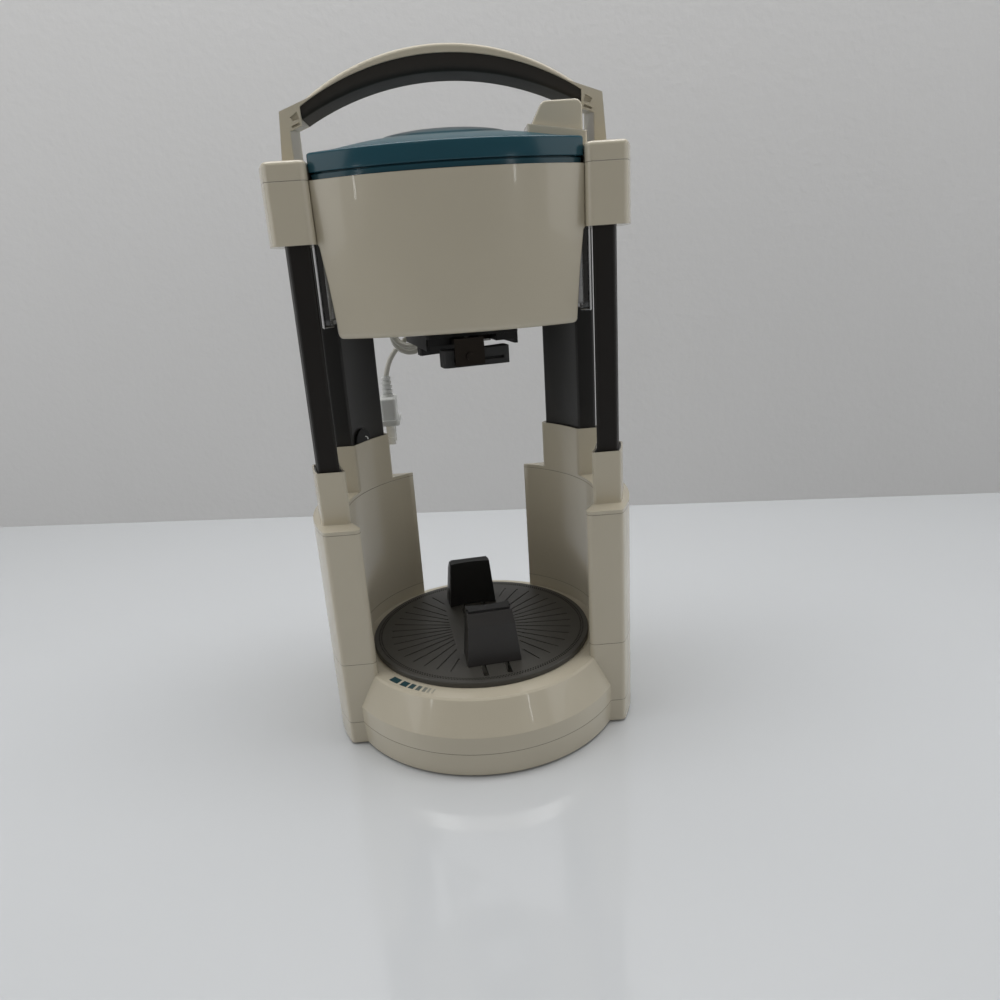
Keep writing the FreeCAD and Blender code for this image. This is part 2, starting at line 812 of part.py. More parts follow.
def handle_shell():
    """Arched band over the head with a leg at each end, standing on the pod caps."""
    half, top = handle_shoulder_half, handle_shoulder
    leg_x, leg_z = handle_leg_half_top, handle_leg_top
    foot_x, under = handle_leg_half_bottom, handle_top - handle_band
    inner_x, end_x, end_z = foot_x - handle_leg_thickness, grip_end_half, gusset_low + gusset_slope
    chain = [(-half, top), ((0, handle_top), (half, top)), (leg_x, leg_z), (foot_x, pod_top),
             (inner_x, pod_top), (inner_x, gusset_low), (end_x, end_z), (end_x, grip_end_top),
             ((0, under), (-end_x, grip_end_top)), (-end_x, end_z), (-inner_x, gusset_low),
             (-inner_x, pod_top), (-foot_x, pod_top), (-leg_x, leg_z), (-half, top)]
    shell = across(outline_face(chain), -handle_depth / 2, handle_depth / 2)
    long_edges = [e for e in shell.Edges if len(e.Vertexes) == 2 and e.BoundBox.YLength < 1
                  and e.BoundBox.ZMin > handle_leg_top - 0.5 and e.BoundBox.ZMax > handle_shoulder - 1
                  and e.BoundBox.XLength > 100 and e.BoundBox.ZMax > under + 1]
    shell = shell.makeFillet(2.0, long_edges)
    cuts = [gusset_underside(inner_x, end_x)]
    pocket = [(1.0, 3.6), (2.2, 7.2), (6.2, 4.6), (4.7, 2.7)]
    slot = [(1.0, 0.6), (1.4, 1.9), (6.0, 0.0), (5.4, -0.9)]
    for corners in (pocket, slot):
        face = outline_face([(end_x + x, end_z + z) for x, z in corners + corners[:1]])
        cuts.append(across(face, -handle_depth / 2, gusset_pocket_depth - handle_depth / 2))
    return shell.cut(cuts + [mirrored(one) for one in cuts])


def handle_grip():
    """Rounded hand grip filling the underside of the arch."""
    end, top = grip_end_half, handle_top - handle_band
    chain = [(-end, grip_end_bottom), (-end, grip_end_top), ((0, top), (end, grip_end_top)),
             (end, grip_end_bottom), ((0, handle_underside), (-end, grip_end_bottom))]
    grip = across(outline_face(chain), 1.0 - handle_depth / 2, handle_depth / 2 - 1.0)
    low = [e for e in grip.Edges if e.BoundBox.YLength < 1 and e.BoundBox.XLength > 100
           and e.BoundBox.ZMax < handle_underside + 0.1]
    return grip.makeFillet(grip_round, low)


# ---------------------------------------------------------------- start button
bezel_left = button_left - bezel_gap - bezel_wall
bezel_right = button_right + bezel_gap + bezel_wall
bezel_front = button_front - bezel_gap - bezel_wall
bezel_rear = button_rear + bezel_gap + bezel_wall
switch_x = 62.0
switch_y = (button_front + button_rear) / 2
well_floor = head_split + 2.0
switch_top = pod_top + 2.0


def button_bezel():
    """Sloping collar round the button, with a well under it that carries the switch."""
    w = bezel_wall
    slope = outline_face([(bezel_left, pod_top), (bezel_right, pod_top), (bezel_right, bezel_low),
                          (bezel_left, bezel_high), (bezel_left, pod_top)])
    collar = across(slope, bezel_front, bezel_rear)
    opening = box(bezel_left + w, bezel_right - w, bezel_front + w, bezel_rear - w, 0, handle_top)
    well_right = body_half_top - head_wall - 1.5
    well = box(bezel_left, well_right, bezel_front, bezel_rear, well_floor - 2, pod_top)
    collar = rounded(collar, 1.5).cut(opening)
    inside = box(bezel_left + w, well_right - w, bezel_front + w, bezel_rear - w, well_floor, pod_top)
    return collar.fuse(well.cut(inside)).removeSplitter()


def start_switch():
    body = box(switch_x - 8, switch_x + 8, switch_y - 6, switch_y + 6, well_floor, switch_top - 3)
    neck = tube(4.5, 0, switch_top - 3, switch_top, switch_x, switch_y)
    bore = tube(2.0 + glide_gap, 0, switch_top - button_travel - 3, switch_top, switch_x, switch_y)
    return body.fuse(neck).cut(bore)


def key_body(by):
    """The key's outer form, shrunk by the amount on every side but the lowest."""
    left, right, low = button_left + by, button_right - by, bezel_low - 1.7
    front, rear, top = button_front + by, button_rear - by, button_top - by
    face = outline_face([(left, low), (right, low), (right, top), (left + button_lean, top),
                         (left + 0.8, bezel_high), (left, low)])
    side = [(front, low), (front, top), (rear, button_top_rear - by), (rear, low)]
    profile = Part.Face(Part.makePolygon([V(left, y, z) for y, z in side + side[:1]]))
    return across(face, front, rear).common(profile.extrude(V(right - left, 0, 0)))


def start_button():
    """Wedge-shaped key with a hollow skirt and a plunger that enters the switch."""
    body = key_body(0)
    along = [e for e in body.Edges if e.BoundBox.YLength > button_rear - button_front - 1
             and e.BoundBox.ZMin > bezel_high + 1]
    body = body.makeFillet(button_corner, along)
    rims = [e for e in body.Edges if e.BoundBox.YLength < 0.1 and e.BoundBox.ZMax > bezel_high + 1]
    body = body.makeFillet(button_edge, rims)
    stem_top = (button_top + button_top_rear) / 2 - 1.1
    stem = tube(2.0, 0, switch_top - 1.0, stem_top, switch_x, switch_y)
    return body.cut(key_body(button_wall)).fuse(stem)


# ---------------------------------------------------------------- motor drive
def polar(distance, degrees, start=(0.0, 0.0)):
    angle = math.radians(degrees)
    return start[0] + distance * math.cos(angle), start[1] + distance * math.sin(angle)


second_axis = polar(drive_module * (drive_teeth + pinion_teeth) / 2, second_gear_angle)
first_axis = polar(drive_module * (second_teeth + pinion_teeth) / 2, first_gear_angle, second_axis)
motor_axis = polar(drive_module * (first_teeth + pinion_teeth) / 2, motor_angle, first_axis)
floor_top = body_bottom + head_wall
bush_top = floor_top + 4.0
layer_one = bush_top + 0.5
layer_two = layer_one + gear_height + gear_gap
layer_three = layer_two + gear_height + gear_gap
top_plate_bottom = layer_three + gear_height + gear_gap


def gear(teeth, axis, z0, z1, toward, tooth, bore=0.0):
    """Gear with a tooth, or else a gap, pointing the way that it meshes."""
    face = gear_face(drive_module, teeth)
    face = turned(face, toward + (0 if tooth else 180 / teeth))
    solid = moved(raised(face, z0, z1), *axis)
    return solid.cut(tube(bore, 0, z0, z1, *axis)) if bore else solid


def lid_drive_gear():
    return gear(drive_teeth, ORIGIN[:2], layer_one, layer_one + gear_height,
                second_gear_angle, False, carrier_hub)


def compound_gear(axis, teeth, z_pinion, z_wheel, pinion_toward, wheel_toward):
    """Moulded pair on one pin: a small pinion below, a wheel above and a collar between them."""
    bore = pin_radius + run_gap
    pinion = gear(pinion_teeth, axis, z_pinion, z_pinion + gear_height, pinion_toward, True)
    collar = tube(pin_radius + 2.2, 0, z_pinion, z_wheel, *axis)
    wheel = gear(teeth, axis, z_wheel, z_wheel + gear_height - 0.6, wheel_toward, True)
    return fused([pinion, collar, wheel]).cut(tube(bore, 0, z_pinion, z_wheel + gear_height, *axis))


def second_gear():
    return compound_gear(second_axis, second_teeth, layer_one, layer_two,
                         second_gear_angle + 180, first_gear_angle)


def first_gear():
    wheel = gear(first_teeth, first_axis, layer_three, layer_three + gear_height - 0.6, motor_angle, True)
    pinion = gear(pinion_teeth, first_axis, layer_two, layer_two + gear_height,
                  first_gear_angle + 180, False)
    collar = tube(pin_radius + 2.2, 0, layer_two, layer_three, *first_axis)
    bore = tube(pin_radius + run_gap, 0, layer_two, top_plate_bottom, *first_axis)
    return fused([pinion, collar, wheel]).cut(bore)


def motor_pinion():
    toothed = gear(pinion_teeth, motor_axis, layer_three, layer_three + gear_height,
                   motor_angle + 180, False)
    shaft = tube(pin_radius, 0, layer_three, top_plate_bottom + plate_thickness + 8, *motor_axis)
    return fused([toothed, shaft])


def plate_plan():
    inside = grown(body_plan(floor_top), -head_wall - 0.5)
    return inside.common(box_face(-63, 36, -42, 41)).Faces[0]


pillar_places = [(30, -32), (30, 34), (-56, 33), (-30, -36)]


def gearbox_base():
    """Plate on the floor of the body, with pillars for the top plate and the two gear pins."""
    plate = raised(plate_plan(), floor_top, floor_top + plate_thickness)
    pillars = [tube(3.5, 0, floor_top, top_plate_bottom, x, y) for x, y in pillar_places]
    pins = [tube(pin_radius, 0, floor_top, top_plate_bottom, *axis) for axis in (first_axis, second_axis)]
    return fused([plate.cut(tube(bush_radius + 3.3, 0, 0, handle_top))] + pillars + pins)


def gearbox_top():
    plate = raised(plate_plan(), top_plate_bottom, top_plate_bottom + plate_thickness)
    return plate.cut(tube(pin_radius + 1.5, 0, 0, handle_top, *motor_axis))


def motor():
    z0 = top_plate_bottom + plate_thickness
    can = tube(motor_radius, 0, z0, z0 + motor_length, *motor_axis)
    can = can.makeFillet(2.0, level_edges(can, z0 + motor_length))
    return can.cut(tube(pin_radius + run_gap, 0, z0, z0 + 12, *motor_axis))


def floor_bush():
    r = bush_radius
    return revolved([(carrier_hub + run_gap, body_bottom), (r, body_bottom), (r, floor_top),
                     (r + 3, floor_top), (r + 3, floor_top + 1.5), (r - 1, bush_top),
                     (carrier_hub + run_gap, bush_top)])


# ---------------------------------------------------------------- lid gripper
plate_low = carrier_top - carrier_plate
keeper_top = carrier_bottom
keeper_bottom = keeper_top - 1.6
arm_bottom = keeper_top + slide_gap
arm_top = plate_low - slide_gap
lid_pitch = lid_module * lid_teeth / 2
lid_shaft = 4.0
lid_pad_back = lid_jaw_face + lid_pad_thickness
clutch_bottom = layer_three - 1.0


def lid_carrier():
    """Turning head: top plate with edge lips and rack rails below, and a hub through the floor."""
    hx, hy = carrier_half_width, carrier_half_length
    plate = rounded(box(-hx, hx, -hy, hy, plate_low, carrier_top), 3.0)
    lip = box(hx - 2, hx, -hy + 3, hy - 3, lip_bottom, plate_low)
    rail = box(arm_outer_lateral + slide_gap, arm_outer_lateral + slide_gap + 3, -hy + 1, hy - 1,
               keeper_top, plate_low)
    skirt = box(arm_outer_lateral + slide_gap, hx - 1, hy - 3, hy - 1, carrier_bottom, plate_low)
    side = fused([lip, rail, skirt, skirt.mirror(ORIGIN, Y_AXIS)])
    hub = tube(carrier_hub, 0, carrier_top, layer_one + gear_height + 1)
    carrier = fused([plate, side, mirrored(side), hub])
    bore = tube(lid_shaft + run_gap, 0, plate_low, layer_two)
    return turned(carrier.cut(bore), carrier_turn)


def lid_keeper():
    reach = arm_outer_lateral + slide_gap + 3
    plate = rounded(box(-reach, reach, -16, 16, keeper_bottom, keeper_top), 3.0)
    return turned(plate.cut(tube(pin_radius + run_gap, 0, keeper_bottom, keeper_top)), carrier_turn)


def lid_pinion():
    """Pinion between the two racks, on a shaft that runs up the hub to its clutch disc."""
    face = gear_face(lid_module, lid_teeth)
    toothed = raised(turned(face, carrier_turn), arm_bottom, arm_top)
    shaft = tube(lid_shaft, 0, arm_top, clutch_bottom)
    tip = tube(pin_radius, 0, keeper_bottom, arm_bottom)
    disc = tube(11.5, 0, clutch_bottom, clutch_bottom + 2.5)
    return fused([toothed, shaft, tip, disc])


def clutch_spring():
    z0 = clutch_bottom + 2.5 + slide_gap
    return revolved([(7.5, z0), (10.5, z0), (7.0, top_plate_bottom), (4.0, top_plate_bottom)])


def lid_arm():
    """Flat steel arm: rack along one edge, turned down outside the grip pad."""
    phase = math.pi * lid_module / 2
    outer = lid_pad_back + bracket_thickness
    bar = raised(rack_face(lid_module, -lid_opening - 5, outer, lid_pitch, arm_outer_lateral, phase),
                 arm_bottom, arm_top)
    head = box(arm_outer_lateral - 2 * bracket_half, arm_outer_lateral, lid_pad_back - 5, outer,
               arm_bottom, arm_top)
    drop = box(arm_outer_lateral - 2 * bracket_half, arm_outer_lateral, lid_pad_back, outer,
               lid_pad_bottom + 1, arm_top)
    rivet = Part.makeCylinder(2.2, 1.0, V(arm_outer_lateral - bracket_half, outer, lid_pad_top - 4), Y_AXIS)
    return fused([bar, head, drop, rivet])


def lid_pad():
    """Rubber lid jaw: a block with a curved, hollowed face and a slot along its back."""
    half, front, back = lid_pad_half, lid_jaw_face, lid_pad_back
    block = box(-half, half, front - 5, back, lid_pad_bottom, lid_pad_top)
    block = rounded(block, 3.0)
    block = block.cut(Part.makeCylinder(46.0, 40, V(0, front - 46.0, lid_pad_bottom - 5)))
    slot = box(4 - half, half - 6, back - 2.0, back, lid_pad_bottom + 3.2, lid_pad_bottom + 4.8)
    arm_room = box(arm_outer_lateral - 2 * bracket_half, arm_outer_lateral, back - 2, back, 0, handle_top)
    return block.cut(slot.cut(arm_room))


def lid_side(shape, where):
    """Rear lid jaw pieces as modelled, front ones turned half round, on the turned carrier."""
    return turned(shape, carrier_turn + (0 if where == "rear" else 180))


# ---------------------------------------------------------------- cord
lead_route = [(18, 79, 300), (18, 79.5, 288), (14, 80.5, 276), (5, 81.5, 267.5), (-8.5, 82, 260.5),
              (-22.8, 82, 255.5)]
tail_route = [(-42, 98, 254.5), (-50, 97.5, 246), (-55.5, 95, 236.5), (-57.8, 92, 227.5)]


def cord_path(route):
    """Straight runs joined by tangent arcs, each as large as its two runs allow."""
    points = [V(*p) for p in route]
    edges, start, radii = [], points[0], []
    for before, corner, after in zip(points, points[1:], points[2:]):
        into, out = (corner - before), (after - corner)
        setback = 0.45 * min(into.Length, out.Length)
        turn = into.getAngle(out)
        radius = setback / math.tan(turn / 2)
        into.normalize()
        out.normalize()
        first, last = corner - into * setback, corner + out * setback
        middle = corner + (out - into).normalize() * (radius / math.cos(turn / 2) - radius)
        edges.append(Part.LineSegment(start, first).toShape())
        edges.append(Part.Arc(first, middle, last).toShape())
        radii.append(round(radius, 1))
        start = last
    edges.append(Part.LineSegment(start, points[-1]).toShape())
    return Part.Wire(edges), radii


def cord_tube(name, route):
    path, radii = cord_path(route)
    heading = V(*route[1]) - V(*route[0])
    section = Part.Wire(Part.makeCircle(cord_radius, V(*route[0]), heading))
    solid = path.makePipeShell([section], True, False)
    expected = math.pi * cord_radius ** 2 * path.Length
    print(f"{name}: radii {radii}, volume {solid.Volume:.0f} against {expected:.0f}")
    return solid


def cord_gland():
    """Hooded outlet on the rear wall, open downward."""
    x, y, z = lead_route[0]
    hood = rounded(box(x - 8, x + 8, body_rear_bottom - 12, y + 7, z, z + 18), 3.0)
    return hood.cut(body_solid(body_bottom, head_split))


def cord_hank():
    """The folded and tied spare length, as one block of its outer shape."""
    c = hank_chamfer
    chain = [(hank_left + c, hank_bottom), (hank_right - c, hank_bottom), (hank_right, hank_bottom + c),
             (hank_right, hank_top - c), (hank_right - c, hank_top), (hank_left + c, hank_top),
             (hank_left, hank_top - c), (hank_left, hank_bottom + c), (hank_left + c, hank_bottom)]
    return across(outline_face(chain), hank_front, hank_rear)


def plug_relief():
    """Ribbed sleeve where the cord enters the plug."""
    profile = [(0, plug_top)]
    steps = 5
    for step in range(steps):
        z0 = plug_top + step * (relief_top - plug_top) / steps
        z1 = z0 + (relief_top - plug_top) / steps
        radius = 4.2 - 0.15 * step
        profile += [(radius, z0), (radius, z1 - 1.2), (radius - 0.9, z1 - 1.2), (radius - 0.9, z1)]
    return moved(revolved(profile + [(0, relief_top)]), plug_x, plug_y)


def plug_body():
    """Flat two-pin plug with a flange to pull it by."""
    half, depth = plug_half_width, plug_half_depth
    body = box(plug_x - half, plug_x + half, plug_y - depth, plug_y + depth, plug_face, plug_top)
    body = rounded(body, 3.0)
    body = body.makeFillet(2.0, level_edges(body, plug_top))
    flange = box(plug_x - half - 1.7, plug_x + half + 1.7, plug_y - depth - 1.7, plug_y + depth + 1.7,
                 plug_face, plug_face + 4)
    return body.fuse([rounded(flange, 3.5), plug_relief()]).removeSplitter()


def plug_blades():
    blade = box(plug_x - 3.2, plug_x + 3.2, plug_y - 0.75, plug_y + 0.75, plug_face - 16, plug_face)
    return Part.makeCompound([moved(blade, y=-6.35), moved(blade, y=6.35)])


# ---------------------------------------------------------------- all pieces
os.makedirs("parts", exist_ok=True)
shell = housing()
nodes = {
    "base_pan": base_pan(), "base_foot_pads": foot_pads(), "base_screws": base_screws(),
    "base_shell": base_shell(), "jar_sun_gear": jar_sun_gear(),
    "post_glides": post_glides(), "turntable_disc": turntable_disc(),
    "turntable_tray": turntable_tray(), "turntable_retainer": turntable_retainer(),
    "turntable_screws": turntable_screws(),
    "head_front_housing": head_front(shell), "head_rear_housing": head_rear(shell),
    "head_screws": head_screws(), "lid_cover": lid_cover(),
    "handle_shell": handle_shell(), "handle_grip": handle_grip(),
    "button_bezel": button_bezel(), "start_switch": start_switch(), "start_button": start_button(),
    "gearbox_base": gearbox_base(), "gearbox_top": gearbox_top(),
    "floor_bush": floor_bush(), "clutch_spring": clutch_spring(), "drive_motor": motor(),
    "motor_pinion": motor_pinion(), "first_gear": first_gear(), "second_gear": second_gear(),
    "lid_carrier": lid_carrier(), "lid_drive_gear": lid_drive_gear(), "lid_keeper": lid_keeper(),
    "lid_pinion": lid_pinion(),
    "cord_gland": cord_gland(), "cord_lead": cord_tube("cord_lead", lead_route),
    "cord_hank": cord_hank(), "cord_tail": cord_tube("cord_tail", tail_route),
    "plug_body": plug_body(), "plug_blades": plug_blades(),
}
for side in SIDES:
    nodes[f"tower_shell_{side}"] = tower_shell(side)
    nodes[f"tower_cap_{side}"] = tower_cap(side)
    nodes[f"front_post_{side}"] = post(front_guide_plan(), side)
    nodes[f"rear_post_{side}"] = post(rear_guide_plan(), side)
    nodes[f"pod_cap_{side}"] = pod_cap(side)
    nodes[f"side_liner_{side}"] = side_liner(side)
for where in ("front", "rear"):
    nodes[f"jar_jaw_{where}"] = jar_side(jar_jaw(), where)
    nodes[f"jar_pad_{where}"] = jar_side(jar_pad(), where)
    nodes[f"jar_rack_{where}"] = jar_side(jar_rack(), where)
    nodes[f"lid_arm_{where}"] = lid_side(lid_arm(), where)
    nodes[f"lid_pad_{where}"] = lid_side(lid_pad(), where)
for name, shape in nodes.items():
    save(name, shape)
print(len(nodes), "pieces")
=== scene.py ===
# %% [markdown]
# # An electric jar opener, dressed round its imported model
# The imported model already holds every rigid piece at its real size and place. This script keeps those pieces,
# gives each one a finish, and adds what is easier to make here: the soft cord, the small marks, the fine
# patterns that repeat, and a set to show it in.

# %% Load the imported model
import json
import math

import bmesh
import bpy
from mathutils import Matrix, Vector


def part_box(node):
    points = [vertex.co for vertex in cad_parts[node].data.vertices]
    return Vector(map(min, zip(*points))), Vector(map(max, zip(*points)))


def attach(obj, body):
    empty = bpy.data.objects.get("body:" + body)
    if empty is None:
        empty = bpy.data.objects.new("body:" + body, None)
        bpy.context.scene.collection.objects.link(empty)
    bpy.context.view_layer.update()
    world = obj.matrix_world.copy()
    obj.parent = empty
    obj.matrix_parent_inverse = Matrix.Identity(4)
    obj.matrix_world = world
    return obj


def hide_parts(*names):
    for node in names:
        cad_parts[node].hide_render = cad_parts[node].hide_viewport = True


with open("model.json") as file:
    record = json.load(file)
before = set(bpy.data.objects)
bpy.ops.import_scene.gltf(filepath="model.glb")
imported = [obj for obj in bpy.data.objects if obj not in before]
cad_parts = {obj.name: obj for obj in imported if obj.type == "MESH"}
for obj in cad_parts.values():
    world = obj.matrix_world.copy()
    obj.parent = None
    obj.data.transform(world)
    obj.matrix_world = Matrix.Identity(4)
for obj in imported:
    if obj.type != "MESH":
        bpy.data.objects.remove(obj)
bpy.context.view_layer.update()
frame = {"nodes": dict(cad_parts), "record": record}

nodes = frame["nodes"]

# %% [markdown]
# ## The camera
# The opener is seen from close by, from about the height of its motor head, looking down by about 18
# degrees, with the camera held slightly askew. A camera's matrix has its right, up and backward directions
# as columns, so those three are worked out from the yaw, pitch and roll and put there directly.

# %% Camera
def camera_at(place, pitch, yaw, roll, focal_px, middle_px, image_px=1000):
    """A camera from its place in metres, its angles in degrees, and its focal length and middle in pixels."""
    pitch, yaw, roll = (math.radians(angle) for angle in (pitch, yaw, roll))
    level = Vector((math.sin(yaw), math.cos(yaw), 0))
    up = Vector((0, 0, 1))
    forward = math.cos(pitch) * level - math.sin(pitch) * up
    right = Vector((math.cos(yaw), -math.sin(yaw), 0))
    above = math.sin(pitch) * level + math.cos(pitch) * up
    tilted_right = math.cos(roll) * right + math.sin(roll) * above
    tilted_up = math.cos(roll) * above - math.sin(roll) * right
    data = bpy.data.cameras.new("camera")
    data.sensor_width = 36.0
    data.lens = focal_px / image_px * data.sensor_width
    data.shift_x = 0.5 - middle_px[0] / image_px
    data.shift_y = middle_px[1] / image_px - 0.5
    camera = bpy.data.objects.new("camera", data)
    facing = Matrix((tilted_right, tilted_up, -forward)).transposed().to_4x4()
    camera.matrix_world = Matrix.Translation(place) @ facing
    bpy.context.scene.collection.objects.link(camera)
    bpy.context.scene.camera = camera
    return camera


camera = camera_at((-0.00423, -0.49506, 0.31090), 18.221, 1.771, -3.945, 754.3, (487.9, 503.9))
print("lens", round(camera.data.lens, 2), "mm")

# %% [markdown]
# ## The mains lead
# A lead is one length of something flexible. It leaves the head at the back, drops, and is folded into a hank
# of loose turns behind the body, so it is one spline: the run down from the outlet, the turns, and the run to
# the plug. Each turn is more control points of that spline, round at its two folds and narrow at the waist,
# where a tie holds it. A spline bends hardest where short and long gaps between points meet, so the gaps grow
# slowly from a fold to the waist.

# %% Route of the lead
MM = 0.001
lead_diameter = 0.0040
run_from_outlet = [(18, 79, 300), (18, 79.5, 288), (14, 80.5, 276), (5, 81.5, 267.5), (-6, 82, 261),
                   (-15, 82, 256.5), (-23.8, 82, 252.4)]
run_to_plug = [(-28.8, 98.6, 280), (-27.0, 99, 271), (-30.0, 99.2, 263), (-36.5, 99.3, 257),
               (-43.5, 99.2, 251), (-50.5, 98, 244.5), (-55.5, 95.3, 236.5), (-57.8, 92, 227.5)]
hank_middle, hank_waist, waist_half = -36.6, 289.0, 5.0
fold_reach, fold_height = 13.4, 12.75
first_turn_y, turn_pitch = 82.1, 4.05


def fold(middle, angles):
    """Points round one end of a turn, at angles in degrees."""
    turned = [math.radians(angle) for angle in angles]
    return [(hank_middle + fold_reach * math.cos(a), middle + fold_reach * math.sin(a)) for a in turned]


def side(sign, start, end):
    """Points along one side of a turn, drawn in toward the waist between its two folds."""
    to_waist, from_waist = hank_waist - start, end - hank_waist
    points = [(12.2, start + to_waist / 3), (8.0, start + to_waist * 2 / 3), (waist_half, hank_waist),
              (8.0, hank_waist + from_waist / 3), (12.2, hank_waist + from_waist * 2 / 3)]
    return [(hank_middle + sign * x, z) for x, z in points]


def turn_points(y, pitch, low, high, next_low, first):
    """One turn of the hank: round its foot, up on the left, over its top and down to the next one."""
    foot, top = low + fold_height, high - fold_height
    flat = fold(foot, (-72, -108, -144, -180) if first else (-36, -72, -108, -144, -180))
    flat += side(-1, foot, top) + fold(top, (180, 144, 108, 72, 36, 0))
    if next_low:
        flat += side(1, top, next_low + fold_height) + fold(next_low + fold_height, (0,))
    else:
        flat += side(1, top, foot)[:3]
    return [(x, y + pitch * step / len(flat), z) for step, (x, z) in enumerate(flat)]


turns = [(250.0, 331.0), (245.0, 333.0), (247.5, 329.0), (249.0, 332.0)]
next_lows = [low for low, high in turns[1:]] + [None]
lead_points = list(run_from_outlet)
for index, ((low, high), next_low) in enumerate(zip(turns, next_lows)):
    start_y = first_turn_y + turn_pitch * index
    lead_points += turn_points(start_y, turn_pitch, low, high, next_low, index == 0)
lead_points += run_to_plug
print(len(lead_points), "control points")

# %% Lead as one spline
def spline_object(name, points, radius, resolution=5):
    """A round cord along one smooth spline, from control points in millimetres and a radius in metres."""
    curve = bpy.data.curves.new(name, "CURVE")
    curve.dimensions = "3D"
    spline = curve.splines.new("NURBS")
    spline.points.add(len(points) - 1)
    for point, place in zip(spline.points, points):
        point.co = (place[0] * MM, place[1] * MM, place[2] * MM, 1)
        point.radius = radius
    spline.order_u = 3
    spline.use_endpoint_u = True
    curve.resolution_u = resolution
    curve.bevel_depth = 1.0
    curve.bevel_resolution = 4
    curve.use_fill_caps = True
    thing = bpy.data.objects.new(name, curve)
    bpy.context.scene.collection.objects.link(thing)
    return thing


mains_lead = spline_object("mains_lead", lead_points, lead_diameter / 2)
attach(mains_lead, "head")
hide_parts("cord_lead", "cord_hank", "cord_tail")

# %% Length along the lead
def line_of(thing):
    """The points of a curve's own line, read from it with its bevel taken off."""
    bare = thing.copy()
    bare.data = thing.data.copy()
    bare.data.bevel_depth = 0
    mesh = bpy.data.meshes.new_from_object(bare)
    points = [vertex.co.copy() for vertex in mesh.vertices]
    bpy.data.objects.remove(bare)
    bpy.data.meshes.remove(mesh)
    return points


lead_line = line_of(mains_lead)
lead_length = sum((b - a).length for a, b in zip(lead_line, lead_line[1:]))
print("lead", round(lead_length, 3), "m")

# %% [markdown]
# The hank is held by a wire tie: a flat plastic strip that goes once round the waist of all the turns, with
# its two ends twisted together at the back. The strip is a narrow rectangle carried along a rounded
# rectangle, and each twisted end is the same rectangle turned as it goes.

# %% Tie round the hank
tie_width, tie_end_width, tie_thickness = 0.0042, 0.0030, 0.0006
tie_front, tie_rear, tie_corner = 79.7, 100.9, 2.6


def swept_strip(name, places, width, thickness, closed):
    """A flat strip along places, each given as a point, the strip's side and its face, with capped ends."""
    made = bmesh.new()
    rows = []
    for point, side_way, face_way in places:
        rows.append([made.verts.new(point + side_way * (width * a / 2) + face_way * (thickness * b / 2))
                     for a, b in ((-1, -1), (1, -1), (1, 1), (-1, 1))])
    pairs = list(zip(rows, rows[1:])) + ([(rows[-1], rows[0])] if closed else [])
    for row, after in pairs:
        for k in range(4):
            made.faces.new((row[k], row[(k + 1) % 4], after[(k + 1) % 4], after[k]))
    if not closed:
        made.faces.new(rows[0][::-1])
        made.faces.new(rows[-1])
    bmesh.ops.recalc_face_normals(made, faces=made.faces)
    mesh = bpy.data.meshes.new(name)
    made.to_mesh(mesh)
    made.free()
    thing = bpy.data.objects.new(name, mesh)
    bpy.context.scene.collection.objects.link(thing)
    return thing


def tie_places(half_x, y0, y1, corner, steps=8):
    """A rounded rectangle round the hank's waist, seen from above."""
    middles = [(half_x - corner, y1 - corner, 0), (corner - half_x, y1 - corner, 90),
               (corner - half_x, y0 + corner, 180), (half_x - corner, y0 + corner, 270)]
    places = []
    for x, y, start in middles:
        for step in range(steps + 1):
            angle = math.radians(start + 90 * step / steps)
            out = Vector((math.cos(angle), math.sin(angle), 0))
            point = Vector((hank_middle + x, y, hank_waist)) * MM + out * corner * MM
            places.append((point, Vector((0, 0, 1)), out))
    return places


def twisted_places(start, steps=24, twist=540, length=20, apart=0.5):
    """Places down the hank's back, winding round a line from a start angle by so many degrees."""
    places = []
    for step in range(steps + 1):
        share = step / steps
        angle = math.radians(start + twist * share)
        way = Vector((math.cos(angle), math.sin(angle), 0))
        line = Vector((hank_middle, tie_rear + 0.2 + 1.2 * share, hank_waist + 2 - length * share))
        places.append(((line + way * apart) * MM, Vector((-way.y, way.x, 0)), way))
    return places


waist_places = tie_places(waist_half + tie_corner, tie_front, tie_rear, tie_corner)
hank_tie = swept_strip("hank_tie", waist_places, tie_width, tie_thickness, True)
tie_ends = [swept_strip(name, twisted_places(start), tie_end_width, tie_thickness, False)
            for name, start in (("tie_end_left", 180), ("tie_end_right", 0))]
for thing in [hank_tie] + tie_ends:
    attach(thing, "head")
print("tie with", len(tie_ends), "twisted ends")

# %% [markdown]
# ## Finishes
# A finish is a small graph of nodes. Sums on numbers in such a graph are easier to read as sums, so a
# socket is wrapped in a class whose plus, minus, times and divide add the Math nodes. Every other node
# comes from one method, which sets the node up first and then fills its inputs.

# %% Numbers that are worked out in the shader
class Number:
    """A number in a finish. Arithmetic on it adds Math nodes to the same tree."""

    def __init__(self, finish, socket):
        self.finish, self.socket = finish, socket

    def sum_with(self, operation, first, second):
        return self.finish.node("ShaderNodeMath", {"operation": operation}, {0: first, 1: second})

    def __add__(self, other):
        return self.sum_with("ADD", self, other)

    def __radd__(self, other):
        return self.sum_with("ADD", other, self)

    def __sub__(self, other):
        return self.sum_with("SUBTRACT", self, other)

    def __rsub__(self, other):
        return self.sum_with("SUBTRACT", other, self)

    def __mul__(self, other):
        return self.sum_with("MULTIPLY", self, other)

    def __rmul__(self, other):
        return self.sum_with("MULTIPLY", other, self)

    def __truediv__(self, other):
        return self.sum_with("DIVIDE", self, other)

    def __rtruediv__(self, other):
        return self.sum_with("DIVIDE", other, self)


